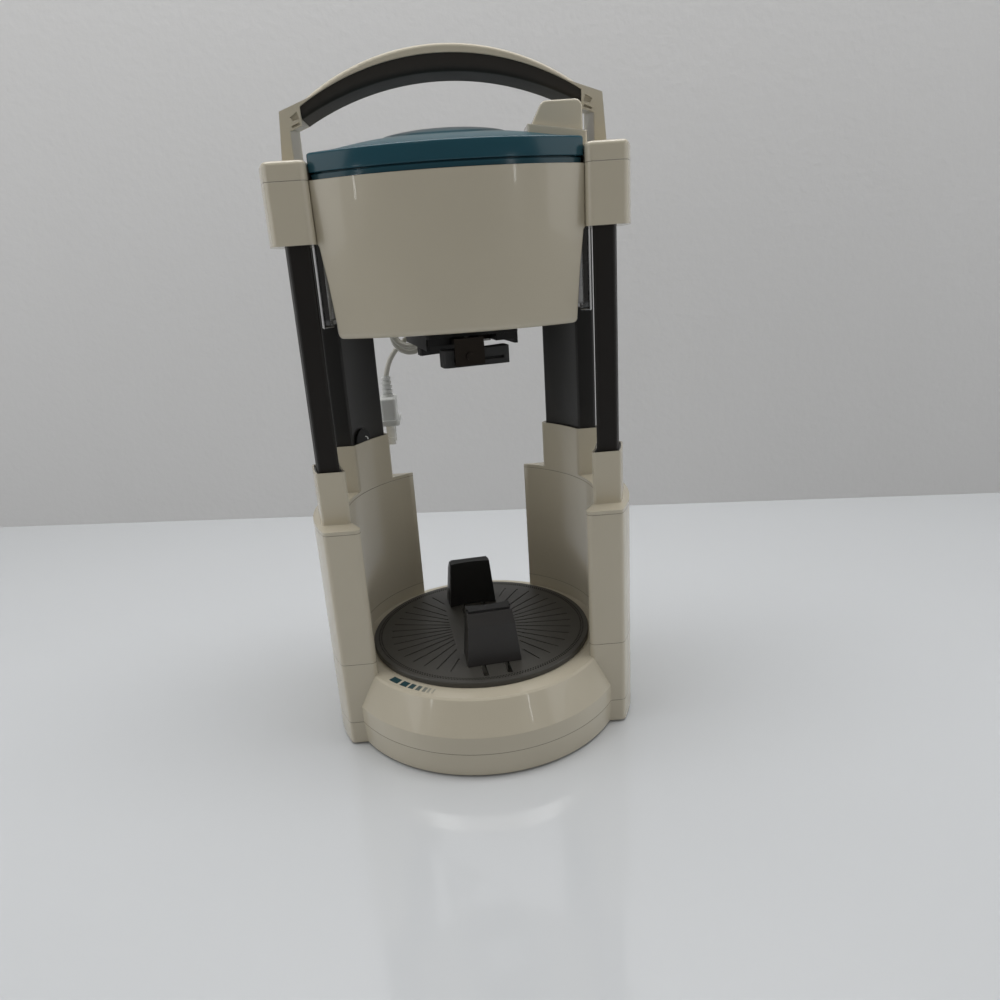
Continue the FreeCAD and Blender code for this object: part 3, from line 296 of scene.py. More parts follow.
# %% A finish
class Finish:
    """A Principled material, with constants set on its shader and varied inputs linked to it."""

    def __init__(self, name, color, roughness, **constants):
        self.material = bpy.data.materials.new(name)
        self.material.use_nodes = True
        self.tree = self.material.node_tree
        self.shader = self.tree.nodes["Principled BSDF"]
        self.color = tuple(color) + (1,)
        self.shader.inputs["Base Color"].default_value = self.color
        self.shader.inputs["Roughness"].default_value = roughness
        for key, value in constants.items():
            self.shader.inputs[key.replace("_", " ")].default_value = value

    def fill(self, socket, value):
        """Puts a constant or a link into a socket."""
        if isinstance(value, Number):
            value = value.socket
        if isinstance(value, bpy.types.NodeSocket):
            self.tree.links.new(value, socket)
        else:
            socket.default_value = value

    def node(self, kind, settings, sockets, output=0):
        """Any node: its type, its settings, then its sockets by name or number. Returns one output."""
        node = self.tree.nodes.new(kind)
        for key, value in settings.items():
            setattr(node, key, value)
        for key, value in sockets.items():
            self.fill(node.inputs[key], value)
        return Number(self, node.outputs[output])

    def place(self):
        return self.node("ShaderNodeTexCoord", {}, {}, "Object")

    def noise(self, scale, detail):
        """Soft blotches, from 0 to 1, at so many to the metre."""
        return self.node("ShaderNodeTexNoise", {}, {"Vector": self.place(), "Scale": scale, "Detail": detail})

    def blend(self, factor, first, second):
        """A colour between two colours."""
        return self.node("ShaderNodeMix", {"data_type": "RGBA"}, {0: factor, 6: first, 7: second}, 2)

    def tinted(self, share):
        """The finish's own colour, lighter or darker by a share."""
        return tuple(channel * share for channel in self.color[:3]) + (1,)

    def use(self, name, value):
        self.fill(self.shader.inputs[name], value)

    def bump(self, height, distance, base=None):
        """Raises the surface by the height, so many metres at 1, over a normal where one is given."""
        sockets = {"Strength": 1.0, "Distance": distance, "Height": height}
        if base:
            sockets["Normal"] = base
        self.use("Normal", self.node("ShaderNodeBump", {}, sockets))


# %% [markdown]
# ### Moulded plastic
# A moulded case is even in colour but never perfect: it has yellowed a little here and there, handling has
# dulled its gloss in patches, and its skin keeps the faint orange-peel of the mould. Three noises at three
# scales give that, one each for colour, roughness and bump. The bump starts from a Bevel node, which rounds
# the shading of each sharp edge by half a millimetre, because no moulded edge is knife-sharp and the light
# that runs along it is most of what the eye reads as plastic.
#
# Where two mouldings meet there is a parting line. It is a narrow dark band at one height, so the finish
# works out how far a point is from that height: 1 on the line, falling to 0 at half its width.

# %% Moulded plastics
pan_top, foot_top, cap_seat, head_split = 17.2, 60.8, 151.8, 356.5
age_scale, wear_scale = 18, 60
line_cover, line_shade, line_depth = 0.75, 0.12, 8


def parting(finish, heights, half_width=0.00028):
    """1 on the parting lines at these heights, in millimetres, and 0 away from them."""
    apart = finish.node("ShaderNodeSeparateXYZ", {}, {"Vector": finish.place()}, "Z")
    total = 0
    for height in heights:
        away = finish.node("ShaderNodeMath", {"operation": "ABSOLUTE"}, {0: apart - height * MM})
        line = finish.node("ShaderNodeMath", {"operation": "MAXIMUM"}, {0: 1 - away / half_width, 1: 0})
        total = total + line
    return total


def moulded(name, color, roughness, dull=0.10, patch=0.05, peel=0.00002, peel_scale=900, lines=(),
            edge=0.0005, **constants):
    """Moulded plastic: uneven age in its colour, patches of wear in its gloss and the skin of the mould."""
    finish = Finish(name, color, roughness, **constants)
    age = finish.noise(age_scale, 3)
    shade = finish.blend(age, finish.tinted(1 - patch), finish.tinted(1 + patch))
    skin = finish.noise(peel_scale, 2)
    if lines:
        line = parting(finish, lines)
        shade = finish.blend(line * line_cover, shade, finish.tinted(line_shade))
        skin = skin - line * line_depth
    finish.use("Base Color", shade)
    wear = finish.noise(wear_scale, 5)
    finish.use("Roughness", wear * dull + (roughness - dull / 2))
    rounded = finish.node("ShaderNodeBevel", {"samples": 4}, {"Radius": edge}) if edge else None
    finish.bump(skin, peel, base=rounded)
    return finish.material


already = len(bpy.data.materials)
cream = (0.56, 0.512, 0.405)
gloss = {"Coat_Weight": 0.35, "Coat_Roughness": 0.02}
teal = moulded("teal_plastic", (0.014, 0.072, 0.100), 0.15, dull=0.05, peel=0.00001, edge=0.0007,
               Specular_IOR_Level=0.38)
# The crown is the same teal plastic as the rim, painted a little lighter and greyer: a painted sheen for the
# pale light that its upward faces catch.
lit_crown_teal = moulded("lit_crown_teal", (0.018, 0.080, 0.105), 0.3, dull=0.05, peel=0.00001,
                     Specular_IOR_Level=0.1)
charcoal = moulded("charcoal_plastic", (0.012, 0.0112, 0.0105), 0.36, peel=0.00003)
grip_grey = moulded("grip_plastic", (0.041, 0.037, 0.033), 0.55, peel=0.00005, peel_scale=1600,
                    Specular_IOR_Level=0.16)
table_grey = moulded("turntable_plastic", (0.058, 0.055, 0.048), 0.46, peel=0.00005, peel_scale=1800)
# The teeth and the bridges are the disc's own plastic, coloured darker than it: painted shade, near black for
# the dark band that the fine teeth make, and a little darker for the bridges down in the rays.
knurl_shade = moulded("knurl_shade_plastic", (0.016, 0.015, 0.013), 0.7, edge=0, Specular_IOR_Level=0.05)
bridge_shade = moulded("bridge_shade_plastic", (0.050, 0.047, 0.041), 0.7, edge=0, Specular_IOR_Level=0.1)
liner_black = moulded("liner_plastic", (0.012, 0.0115, 0.011), 0.26, edge=0.0008, Coat_Weight=0.8)
post_brown = moulded("post_plastic", (0.0105, 0.0085, 0.0072), 0.5, Specular_IOR_Level=0.3)
jaw_grey = moulded("jaw_plastic", (0.032, 0.030, 0.029), 0.36)
jaw_black = moulded("jaw_black_plastic", (0.0028, 0.0026, 0.0026), 0.4, Specular_IOR_Level=0.3)
rubber = moulded("rubber", (0.010, 0.010, 0.010), 0.62, peel=0.00006, peel_scale=2200)
acetal = moulded("acetal", (0.62, 0.61, 0.57), 0.38)
lead_plastic = moulded("lead_plastic", (0.50, 0.49, 0.44), 0.36)
plug_plastic = moulded("plug_plastic", (0.66, 0.67, 0.65), 0.34)
case_ivory = moulded("ivory_case", cream, 0.24, lines=(head_split,), **gloss)
tower_ivory = moulded("ivory_tower", cream, 0.24, lines=(cap_seat, foot_top), **gloss)
base_ivory = moulded("ivory_base", cream, 0.24, lines=(pan_top, foot_top), **gloss)
# The start button and its collar are a lighter copy of the case's ivory: painted light, for the extra light
# their sloping faces catch.
lit_button_ivory = moulded("ivory_button_lit", (0.64, 0.59, 0.475), 0.22, edge=0.001, **gloss)
handle_ivory = moulded("ivory_handle", (0.575, 0.527, 0.42), 0.34, edge=0.0007, Specular_IOR_Level=0.3)
print(len(bpy.data.materials) - already, "moulded finishes")

# %% [markdown]
# ### Metals
# Pressed and plated steel shows where it was rolled: long fine scratches along one way. A noise that is
# stretched by a Mapping node gives them, in the roughness and as a slight bump.

# %% Metals
def rolled(name, color, roughness):
    """Metal with fine scratches from left to right."""
    finish = Finish(name, color, roughness, Metallic=1.0)
    stretched = finish.node("ShaderNodeMapping", {}, {"Vector": finish.place(), "Scale": (40, 1200, 1200)})
    scratches = finish.node("ShaderNodeTexNoise", {}, {"Vector": stretched, "Scale": 1.0, "Detail": 3.0})
    finish.use("Roughness", scratches * 0.2 + (roughness - 0.1))
    stain = finish.noise(90, 3)
    finish.use("Base Color", finish.blend(stain, finish.tinted(0.8), finish.tinted(1.1)))
    finish.bump(scratches, 0.00001)
    return finish.material


zinc_steel = rolled("zinc_steel", (0.60, 0.60, 0.58), 0.34)
brown_steel = rolled("bracket_steel", (0.030, 0.025, 0.021), 0.42)
nickel = rolled("nickel_plate", (0.86, 0.86, 0.84), 0.3)
print("metals:", zinc_steel.name, brown_steel.name, nickel.name)

# %% [markdown]
# ### Which piece gets which finish
# Each node of the imported model names a material slot, and each slot has one finish here. A few pieces
# differ from the rest of their slot, such as mouldings with a parting line at another height, the handle
# and its grip, the start button and the front posts. Those have a finish of their own. The start button's
# is a lighter copy of the case's ivory, which paints on the extra light that its sloping faces catch.

# %% Dress the nodes
finishes = {"ivory": case_ivory, "teal": teal, "charcoal": charcoal, "table_grey": table_grey,
            "jaw_grey": jaw_grey, "jaw_black": jaw_black, "rubber": rubber, "acetal": acetal,
            "steel": zinc_steel, "brown_steel": brown_steel, "brass": nickel, "cord": lead_plastic}
own_finish = {"base_shell": base_ivory, "base_pan": base_ivory,
              "tower_shell_left": tower_ivory, "tower_shell_right": tower_ivory,
              "tower_cap_left": tower_ivory, "tower_cap_right": tower_ivory,
              "front_post_left": post_brown, "front_post_right": post_brown,
              "side_liner_left": liner_black, "side_liner_right": liner_black,
              "handle_shell": handle_ivory, "handle_grip": grip_grey,
              "start_button": lit_button_ivory, "button_bezel": lit_button_ivory,
              "lid_carrier": jaw_black, "plug_body": plug_plastic}


def dress(thing, material):
    """Gives an object one material all over."""
    thing.data.materials.clear()
    thing.data.materials.append(material)


for part in frame["record"]["subparts"]:
    name = part["node"]
    material = own_finish.get(name, finishes[part["material_slot"]])
    node = nodes[name]
    for place in node.material_slots:
        place.material = material
    if not node.material_slots:
        node.data.materials.append(material)
for thing in [mains_lead, hank_tie] + tie_ends:
    dress(thing, lead_plastic)

# %% [markdown]
# ## Marks on the ring
# Seven teal bars are printed on the flat ring in front of the turntable. They get shorter and fainter
# toward the front, as a scale that says which way to turn. Each is a film of ink a twentieth of a
# millimetre thick, cut as a piece of a ring, so its ends are radial and its long sides follow the
# turntable.

# %% Printed bars
def ring_piece(made, inner, outer, start, end, low, high, steps=6):
    """Adds a piece of a flat ring, between two angles in degrees, to a mesh that is being made."""
    rows = []
    for step in range(steps + 1):
        angle = math.radians(start + (end - start) * step / steps)
        way = Vector((math.cos(angle), math.sin(angle), 0)) * MM
        rows.append([made.verts.new(way * radius + Vector((0, 0, height * MM)))
                     for radius, height in ((inner, low), (outer, low), (outer, high), (inner, high))])
    faces = [made.faces.new((row[k], row[(k + 1) % 4], after[(k + 1) % 4], after[k]))
             for row, after in zip(rows, rows[1:]) for k in range(4)]
    faces += [made.faces.new(rows[0][::-1]), made.faces.new(rows[-1])]
    return faces


def piece_from(made, name, body, materials, smooth=0):
    """Turns a finished bmesh into a piece that rides on a body, shaded smooth up to an angle in degrees."""
    bmesh.ops.recalc_face_normals(made, faces=made.faces)
    mesh = bpy.data.meshes.new(name)
    made.to_mesh(mesh)
    made.free()
    if smooth:
        mesh.shade_smooth()
        mesh.set_sharp_from_angle(angle=math.radians(smooth))
    for material in materials:
        mesh.materials.append(material)
    thing = bpy.data.objects.new(name, mesh)
    bpy.context.scene.collection.objects.link(thing)
    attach(thing, body)
    return thing


bar_ends = [(-137.5, -132.3), (-130.9, -127.1), (-126.1, -123.5), (-122.3, -120.2), (-119.0, -117.4),
            (-116.6, -115.6), (-114.3, -113.6)]
bar_strengths = [1.0, 1.0, 0.96, 0.82, 0.64, 0.50, 0.38]
bar_inner, bar_outer, bar_low, bar_high = 80.9, 86.0, 51.28, 51.35
ink = (0.006, 0.048, 0.062)
bars, bar_inks = bmesh.new(), []
for index, ((start, end), strength) in enumerate(zip(bar_ends, bar_strengths)):
    color = tuple(a * strength + b * (1 - strength) for a, b in zip(ink, cream))
    bar_inks.append(moulded(f"bar_ink_{index + 1}", color, 0.3, edge=0))
    for face in ring_piece(bars, bar_inner, bar_outer, start, end, bar_low, bar_high):
        face.material_index = index
ring_bars = piece_from(bars, "ring_bars", "base", bar_inks)
print(len(bar_ends), "bars")

# %% [markdown]
# ## The turntable's fine pattern
# The disc's rays are cut as grooves in the model. On the real disc each ray is broken by short bridges, and
# a band of fine teeth runs inside the rim for grip. Both are one small bar set many times round a circle,
# which is work for Geometry Nodes: a circle gives the places, a bar is instanced on each, and the instances
# are made real. The same tree makes every ring of them, with the sizes as its inputs.

# %% A tree that sets bars round a circle
def ring_tree():
    """Geometry Nodes that set a small bar, pointing outward, at each of so many places round a circle."""
    tree = bpy.data.node_groups.new("bars_round_a_circle", "GeometryNodeTree")
    ask = tree.interface.new_socket
    ask("Geometry", in_out="OUTPUT", socket_type="NodeSocketGeometry")
    for name, kind in (("Count", "Int"), ("Radius", "Float"), ("Height", "Float"), ("Bar", "Vector"),
                       ("Turn", "Float"), ("Finish", "Material")):
        ask(name, in_out="INPUT", socket_type="NodeSocket" + kind)
    new, link = tree.nodes.new, tree.links.new
    given, result = new("NodeGroupInput"), new("NodeGroupOutput")
    circle, bar = new("GeometryNodeMeshCircle"), new("GeometryNodeMeshCube")
    link(given.outputs["Count"], circle.inputs["Vertices"])
    link(given.outputs["Radius"], circle.inputs["Radius"])
    link(given.outputs["Bar"], bar.inputs["Size"])
    spot, apart = new("GeometryNodeInputPosition"), new("ShaderNodeSeparateXYZ")
    angle, turn = new("ShaderNodeMath"), new("ShaderNodeCombineXYZ")
    angle.operation = "ARCTAN2"
    link(spot.outputs[0], apart.inputs[0])
    link(apart.outputs["Y"], angle.inputs[0])
    link(apart.outputs["X"], angle.inputs[1])
    link(angle.outputs[0], turn.inputs["Z"])
    place = new("GeometryNodeInstanceOnPoints")
    link(circle.outputs[0], place.inputs["Points"])
    link(bar.outputs["Mesh"], place.inputs["Instance"])
    link(turn.outputs[0], place.inputs["Rotation"])
    real, shift = new("GeometryNodeRealizeInstances"), new("GeometryNodeTransform")
    lift, spin = new("ShaderNodeCombineXYZ"), new("ShaderNodeCombineXYZ")
    link(place.outputs[0], real.inputs[0])
    link(given.outputs["Height"], lift.inputs["Z"])
    link(given.outputs["Turn"], spin.inputs["Z"])
    link(real.outputs[0], shift.inputs["Geometry"])
    link(lift.outputs[0], shift.inputs["Translation"])
    link(spin.outputs[0], shift.inputs["Rotation"])
    coat = new("GeometryNodeSetMaterial")
    link(shift.outputs[0], coat.inputs["Geometry"])
    link(given.outputs["Finish"], coat.inputs["Material"])
    link(coat.outputs[0], result.inputs[0])
    return tree


bars_round = ring_tree()
print(bars_round.name, "has", len(bars_round.nodes), "nodes")


# %% Plain meshes from the tree
def grown_mesh(name, tree, **values):
    """The plain mesh that a tree makes from these inputs."""
    holder = bpy.data.objects.new(name, bpy.data.meshes.new(name))
    bpy.context.scene.collection.objects.link(holder)
    modifier = holder.modifiers.new("grow", "NODES")
    modifier.node_group = tree
    for item in tree.interface.items_tree:
        if item.in_out == "INPUT" and item.name.lower() in values:
            modifier[item.identifier] = values[item.name.lower()]
    evaluated = holder.evaluated_get(bpy.context.evaluated_depsgraph_get())
    mesh = bpy.data.meshes.new_from_object(evaluated)
    bpy.data.objects.remove(holder)
    return mesh


def joined(name, groups, body):
    """One piece from plain meshes, each given with its material."""
    made = bmesh.new()
    for index, (mesh, _) in enumerate(groups):
        done = len(made.faces)
        made.from_mesh(mesh)
        made.faces.ensure_lookup_table()
        for face in made.faces[done:]:
            face.material_index = index
    return piece_from(made, name, body, [material for _, material in groups])


# %% Teeth and bridges on the disc
disc_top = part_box("turntable_disc")[1][2]
tooth_bar, bridge_bar = (0.0010, 0.0009, 0.0005), (0.0019, 0.0018, 0.0005)


def disc_ring(count, radius, sunk, bar, turn, finish):
    """One ring of bars whose middles lie a little below the disc's top, with its material."""
    mesh = grown_mesh("disc_ring", bars_round, count=count, radius=radius, height=disc_top - sunk, bar=bar,
                      turn=turn, finish=finish)
    return mesh, finish


# The teeth's near-black colour is painted shade, and so is the bridges' darker grey.
teeth = [disc_ring(240, radius, 0.0002, tooth_bar, turn, knurl_shade)
         for radius, turn in ((0.0722, 0.0), (0.0737, math.radians(0.75)))]
bridges = [disc_ring(40, radius, 0.0003, bridge_bar, 0.0, bridge_shade) for radius in (0.0335, 0.0480)]
disc_pattern = joined("disc_pattern", teeth + bridges, "turntable")
print("disc top at", round(disc_top / MM, 1), "mm,", len(disc_pattern.data.polygons), "faces on it")

# %% [markdown]
# ## The lid
# The lid is one glossy teal moulding with a narrow recessed band at its foot, a shadow gap, a straight rim,
# and a low crown with an oval lens in its middle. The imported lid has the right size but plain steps, so
# this one is made from rows of points instead. Each row is the same outline, drawn in from the edge by its
# own inset, and neighbouring rows are joined with quads. One set of rows runs up the outside and another
# down the inside, so the shell is closed and has a wall. A block is then cut away where the start button's
# collar stands.

# %% The lid's outline
lid_half, lid_front, lid_rear = 77.05, -58.0, 70.0
lid_front_corner, lid_rear_corner = -36.5, 22.0
front_share, rear_share = 0.7, 0.5


def bowed(x, middle, corner, half):
    """The y of an arc through its middle and both corners."""
    bow = corner - middle
    radius = (half * half + bow * bow) / (2 * bow)
    return middle + radius - math.copysign(math.sqrt(radius * radius - x * x), radius)


def eased(before, corner, after, steps=4):
    """A small rounded corner between two points, through the pull of a third."""
    shares = [k / steps for k in range(steps + 1)]
    return [before.lerp(corner, share).lerp(corner.lerp(after, share), share) for share in shares]


def lid_outline(inset, rounding=2.2, steps=26):
    """The lid's plan drawn in by an inset, in millimetres, from the front left round to the rear left."""
    half, reach = lid_half - inset, lid_half - inset - rounding
    front_corner, rear_corner = lid_front_corner + inset * front_share, lid_rear_corner - inset * rear_share
    front = [Vector((x, bowed(x, lid_front + inset, front_corner, half)))
             for x in (reach * (2 * k / steps - 1) for k in range(steps + 1))]
    rear = [Vector((x, bowed(x, lid_rear - inset, rear_corner, half)))
            for x in (reach * (1 - 2 * k / steps) for k in range(steps + 1))]
    right = eased(front[-1], Vector((half, front_corner)), Vector((half, front_corner + rounding)))[1:]
    right += [Vector((half, y)) for y in (-20.0, -5.0, 10.0)]
    right += eased(Vector((half, rear_corner - rounding)), Vector((half, rear_corner)), rear[0])[:-1]
    left = [Vector((-point.x, point.y)) for point in reversed(right)]
    return front + right + rear + left


print(len(lid_outline(0)), "points in each row")

# %% The crown
crown_middle, crown_low, crown_rise, crown_inset = 6.0, 370.7, 11.0, 1.4
lens_half_x, lens_half_y, lens_middle = 37.0, 25.0, 3.0
lens_rise, lens_step, lens_edge = 3.0, 0.55, 0.07
lid_plan = lid_outline(crown_inset)


def crown(x, y, front_y, rear_y):
    """The crown's height over a place: nothing extra at its edge, and the oval lens on top."""
    reach = (crown_middle - front_y) if y < crown_middle else (rear_y - crown_middle)
    across = 1 - min(abs(x) / lid_half, 1) ** 3.2
    along = 1 - min(abs(y - crown_middle) / reach, 1) ** 1.45
    oval = (x / lens_half_x) ** 2 + ((y - lens_middle) / lens_half_y) ** 2
    lens = lens_step * min(1, max(0, (1 - oval) / lens_edge)) + (lens_rise - lens_step) * max(0, 1 - oval)
    return crown_low + crown_rise * across * along + lens


def crown_row(share, drop=0.0):
    """A row of the crown: the outline scaled toward the middle, at the crown's heights."""
    row = []
    for point in lid_plan:
        x, y = point.x * share, crown_middle + (point.y - crown_middle) * share
        wide, half = min(abs(x), lid_half - crown_inset - 0.1), lid_half - crown_inset
        front_y = bowed(wide, lid_front + crown_inset, lid_front_corner + 1.0, half)
        rear_y = bowed(wide, lid_rear - crown_inset, lid_rear_corner - 0.7, half)
        row.append(Vector((x, y, crown(x, y, front_y, rear_y) - drop)))
    return row


print("crown up to", round(max(point.z for point in crown_row(0.05)), 1), "mm")


# %% Helpers for a closed shell
def cut_away(thing, low, high):
    """Cuts a block, given by its corners in metres, out of a piece and leaves a plain mesh."""
    block = bmesh.new()
    bmesh.ops.create_cube(block, size=1.0)
    for point in block.verts:
        point.co = Vector([a if c < 0 else b for a, b, c in zip(low, high, point.co)])
    cutter_mesh = bpy.data.meshes.new("cutter")
    block.to_mesh(cutter_mesh)
    cutter = bpy.data.objects.new("cutter", cutter_mesh)
    bpy.context.scene.collection.objects.link(cutter)
    modifier = thing.modifiers.new("cut", "BOOLEAN")
    modifier.object, modifier.operation, modifier.solver = cutter, "DIFFERENCE", "EXACT"
    cut = bpy.data.meshes.new_from_object(thing.evaluated_get(bpy.context.evaluated_depsgraph_get()))
    thing.modifiers.clear()
    thing.data = cut
    bpy.data.objects.remove(cutter)


def rows_joined(made, rows):
    """Quads between neighbouring closed rows of points in millimetres."""
    rings = [[made.verts.new(point * MM) for point in row] for row in rows]
    for ring, after in zip(rings, rings[1:]):
        for k in range(len(ring)):
            following = (k + 1) % len(ring)
            made.faces.new((ring[k], ring[following], after[following], after[k]))
    return rings


# %% The lid's shell
lid_wall, crown_from = 2.4, 370.6
lid_rim = [(1.2, head_split), (1.2, 359.5), (2.6, 359.6), (2.6, 360.3), (0.25, 360.35), (0.0, 360.65),
           (0.0, 369.3), (0.15, 369.9), (0.55, 370.4), (1.1, 370.65)]
lid_room = [(4.2, 368.0), (4.2, 361.5), (3.8, head_split)]
shares = [1.0, 0.985, 0.955] + [0.92 - 0.02 * k for k in range(45)]
made = bmesh.new()
outside = [[Vector((*point, height)) for point in lid_outline(inset)] for inset, height in lid_rim]
inside = [[Vector((*point, height)) for point in lid_outline(inset)] for inset, height in lid_room]
rings = rows_joined(made, outside + [crown_row(share) for share in shares])
made.faces.new(rings[-1])
under = rows_joined(made, [crown_row(share, lid_wall) for share in reversed(shares[4:])] + inside)
made.faces.new(under[0][::-1])
for k in range(len(rings[0])):
    following = (k + 1) % len(rings[0])
    made.faces.new((rings[0][k], rings[0][following], under[-1][following], under[-1][k]))
# Faces above the rim get the crown's lighter teal, which is painted light on the top.
for face in made.faces:
    face.material_index = 1 if min(point.co.z for point in face.verts) > crown_from * MM else 0
lid_shell = piece_from(made, "lid_shell", "head", [teal, lit_crown_teal], smooth=38)
collar_low, collar_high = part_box("button_bezel")
cut_away(lid_shell, (collar_low[0] - 0.0001, collar_low[1] - 0.0001, 0.350),
         (collar_high[0] + 0.0001, collar_high[1] + 0.0001, 0.400))
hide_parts("lid_cover")
print(len(lid_shell.data.polygons), "faces in the lid")

# %% [markdown]
# ## The head's front
# The front of the motor housing runs straight into the pods at its top, and below them it narrows to crisp
# edges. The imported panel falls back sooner, so this one replaces it. Its plan is again a bowed line between
# two corners, now as an open path with a second path inside it, and the two together are one closed row.
# Rows at several heights make the wall. At the floor the inner path is drawn back to the seam, which closes
# the bottom.

# %% The head's front
panel_low, panel_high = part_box("head_front_housing")
seam_y, panel_bottom = panel_high[1] / MM, panel_low[2] / MM
front_at_floor, front_at_top = -51.3, -58.0
corner_at_floor, corner_at_top = -31.0, -37.5
half_at_floor, half_at_top, bow_half = 71.4, 77.12, 77.2


def panel_row(half, front, corner, rounding, height, floor=False, wall=2.6, steps=30):
    """One closed row of the front panel: its outer path, then its inner path backwards."""
    def path(half, front, corner):
        reach = half - rounding
        arc = [Vector((x, bowed(x, front, corner, half))) for x in
               (reach * (2 * k / steps - 1) for k in range(steps + 1))]
        right = eased(arc[-1], Vector((half, corner)), Vector((half, corner + rounding)), 5)[1:]
        right.append(Vector((half, seam_y)))
        return [Vector((-point.x, point.y)) for point in reversed(right)] + arc + right
    outer, inner = path(half, front, corner), path(half - wall, front + wall, corner + wall * 0.6)
    if floor:
        inner = [Vector((point.x, seam_y)) for point in inner]
    return [Vector((*point, height)) for point in outer + inner[::-1]]


def front_level(height, half, rounding):
    """A row's sizes at a height: the bow changes evenly with the height, and the half width trims it."""
    share = (height - panel_bottom) / (head_split - panel_bottom)
    middle = front_at_floor + (front_at_top - front_at_floor) * share
    corner = corner_at_floor + (corner_at_top - corner_at_floor) * share
    return half, middle, bowed(half, middle, corner, bow_half), rounding, height


levels = [front_level(*level) for level in
          ((head_split, half_at_top, 0.8), (340.0, half_at_top, 0.8), (323.0, 77.10, 0.8), (321.5, 76.2, 1.0),
           (300.0, 73.6, 1.4), (panel_bottom + 3.0, half_at_floor, 1.6))]
rows = [panel_row(*level) for level in levels]
rows.append(panel_row(*levels[-1], floor=True))
for inset, rise in ((0.1, 2.0), (0.5, 1.1), (1.2, 0.4), (2.2, 0.0)):
    half, middle, corner, rounding, _ = front_level(panel_bottom + rise, half_at_floor - inset, 1.6)
    rows.append(panel_row(half, middle + inset, corner + inset, rounding, panel_bottom + rise, floor=True))
made = bmesh.new()
rings = rows_joined(made, rows)
half_way = len(rings[0]) // 2
for ring in (rings[0], rings[-1]):
    for k in range(half_way - 1):
        made.faces.new((ring[k], ring[k + 1], ring[-2 - k], ring[-1 - k]))
head_front = piece_from(made, "head_front", "head", [case_ivory], smooth=30)
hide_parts("head_front_housing")
print(len(head_front.data.polygons), "faces in the front")

# %% [markdown]
# ## The towers' rear edges
# Seen from above, each tower is a slice of a ring that is cut off flat at the back, so the inner face and
# the flat back meet in a thin upright edge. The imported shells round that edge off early. A slim wedge with
# the tower's own curve fills each one out, and stands a few hundredths of a millimetre proud, because two
# faces in exactly the same place would leave dark spots.

# %% Rear edges
edge_top, edge_radius, edge_back, edge_round = 154.24, 85.46, 74.03, 0.35


def edge_wedge(name, side):
    """A thin upright wedge from the base to the cap's top, between the inner curve and the flat back."""
    tip = math.sqrt(edge_radius * edge_radius - edge_back * edge_back)
    radii = [edge_radius] * 6 + [85.49, 85.53, 85.6, 85.7]
    plan = [Vector((x, math.sqrt(radius * radius - x * x)))
            for x, radius in zip((tip + 1.2 + 1.6 * k for k in range(10)), radii)]
    plan += [Vector((plan[-1].x, edge_back)), Vector((tip + 1.6, edge_back)),
             Vector((tip + 0.8, edge_back - edge_round))]
    rows = [[Vector((side * x, y, z)) for x, y in plan] for z in (1.0, 60.0, edge_top - 0.4)]
    rows.append([Vector((side * (x + edge_round), min(y, edge_back - edge_round), edge_top))
                 for x, y in plan])
    made = bmesh.new()
    rings = rows_joined(made, rows)
    made.faces.new(rings[0][::-1])
    made.faces.new(rings[-1])
    return piece_from(made, f"tower_edge_{name}", "base", [tower_ivory], smooth=25)


tower_edges = [edge_wedge("left", -1), edge_wedge("right", 1)]
print(len(tower_edges), "edges")

# %% [markdown]
# ## The latch in the rear socket
# A small black catch with a pale half ring sits in the mouth of the left rear socket, where the post slides
# in. Its black is partly painted shade, for the dark hole that it sits in, and the half ring's pale colour is
# partly a painted highlight, for a glint on the end of a spring. The catch is a plate that follows the
# socket's curve, so each point is given by its angle round the tower and its height.

# %% Catch and half ring
catch_angle, catch_half, catch_foot, catch_middle, catch_radius = 149.6, 5.6, 187.0, 189.4, 8.5
ring_angle, ring_middle, mouth_radius = 148.0, 189.0, 87.0


def curved_plate(made, inner, outer, outline):
    """A closed plate on an upright cylinder, from radii in mm and an outline of (angle, height)."""
    ways = [(math.cos(math.radians(angle)), math.sin(math.radians(angle)), height)
            for angle, height in outline]
    rows = [[made.verts.new(Vector((x * radius, y * radius, z)) * MM) for x, y, z in ways]
            for radius in (inner, outer)]
    count = len(outline)
    for k in range(count):
        made.faces.new((rows[0][k], rows[0][(k + 1) % count], rows[1][(k + 1) % count], rows[1][k]))
    return [made.faces.new(rows[0][::-1]), made.faces.new(rows[1])]


def half_round(angle, height, radius, steps=10):
    """Points of the upper half of a circle on the cylinder, its flat side level."""
    turns = [math.pi * k / steps for k in range(steps + 1)]
    return [(angle + math.degrees(radius * math.cos(turn) / mouth_radius), height + radius * math.sin(turn))
            for turn in turns]


catch = bmesh.new()
catch_foot_line = [(catch_angle - catch_half, catch_foot), (catch_angle + catch_half, catch_foot)]
curved_plate(catch, 86.2, 88.6, catch_foot_line + half_round(catch_angle, catch_middle, catch_radius)[::-1])
# The catch's black is partly painted shade, for the dark hole that it sits in.
latch_catch_and_shade = piece_from(catch, "latch_catch_and_shade", "base", [jaw_black], smooth=30)
ring = bmesh.new()
ring_outside, ring_inside = (half_round(ring_angle, ring_middle, radius) for radius in (3.0, 1.9))
curved_plate(ring, 85.9, 86.6, ring_outside + ring_inside[::-1])
# The half ring's pale colour is partly a painted highlight, for a glint on the end of a spring.
latch_ring_and_glint = piece_from(ring, "latch_ring_and_glint", "base", [plug_plastic], smooth=30)
print("catch at", [round(v / MM) for v in latch_catch_and_shade.data.vertices[0].co], "mm")

# %% [markdown]
# ## The set
# A plain pale sheet that is glossy enough to mirror the foot of the opener, and a grey wall well behind it.
# The wall runs slightly askew to the opener, so its foot is given by two places on the floor.

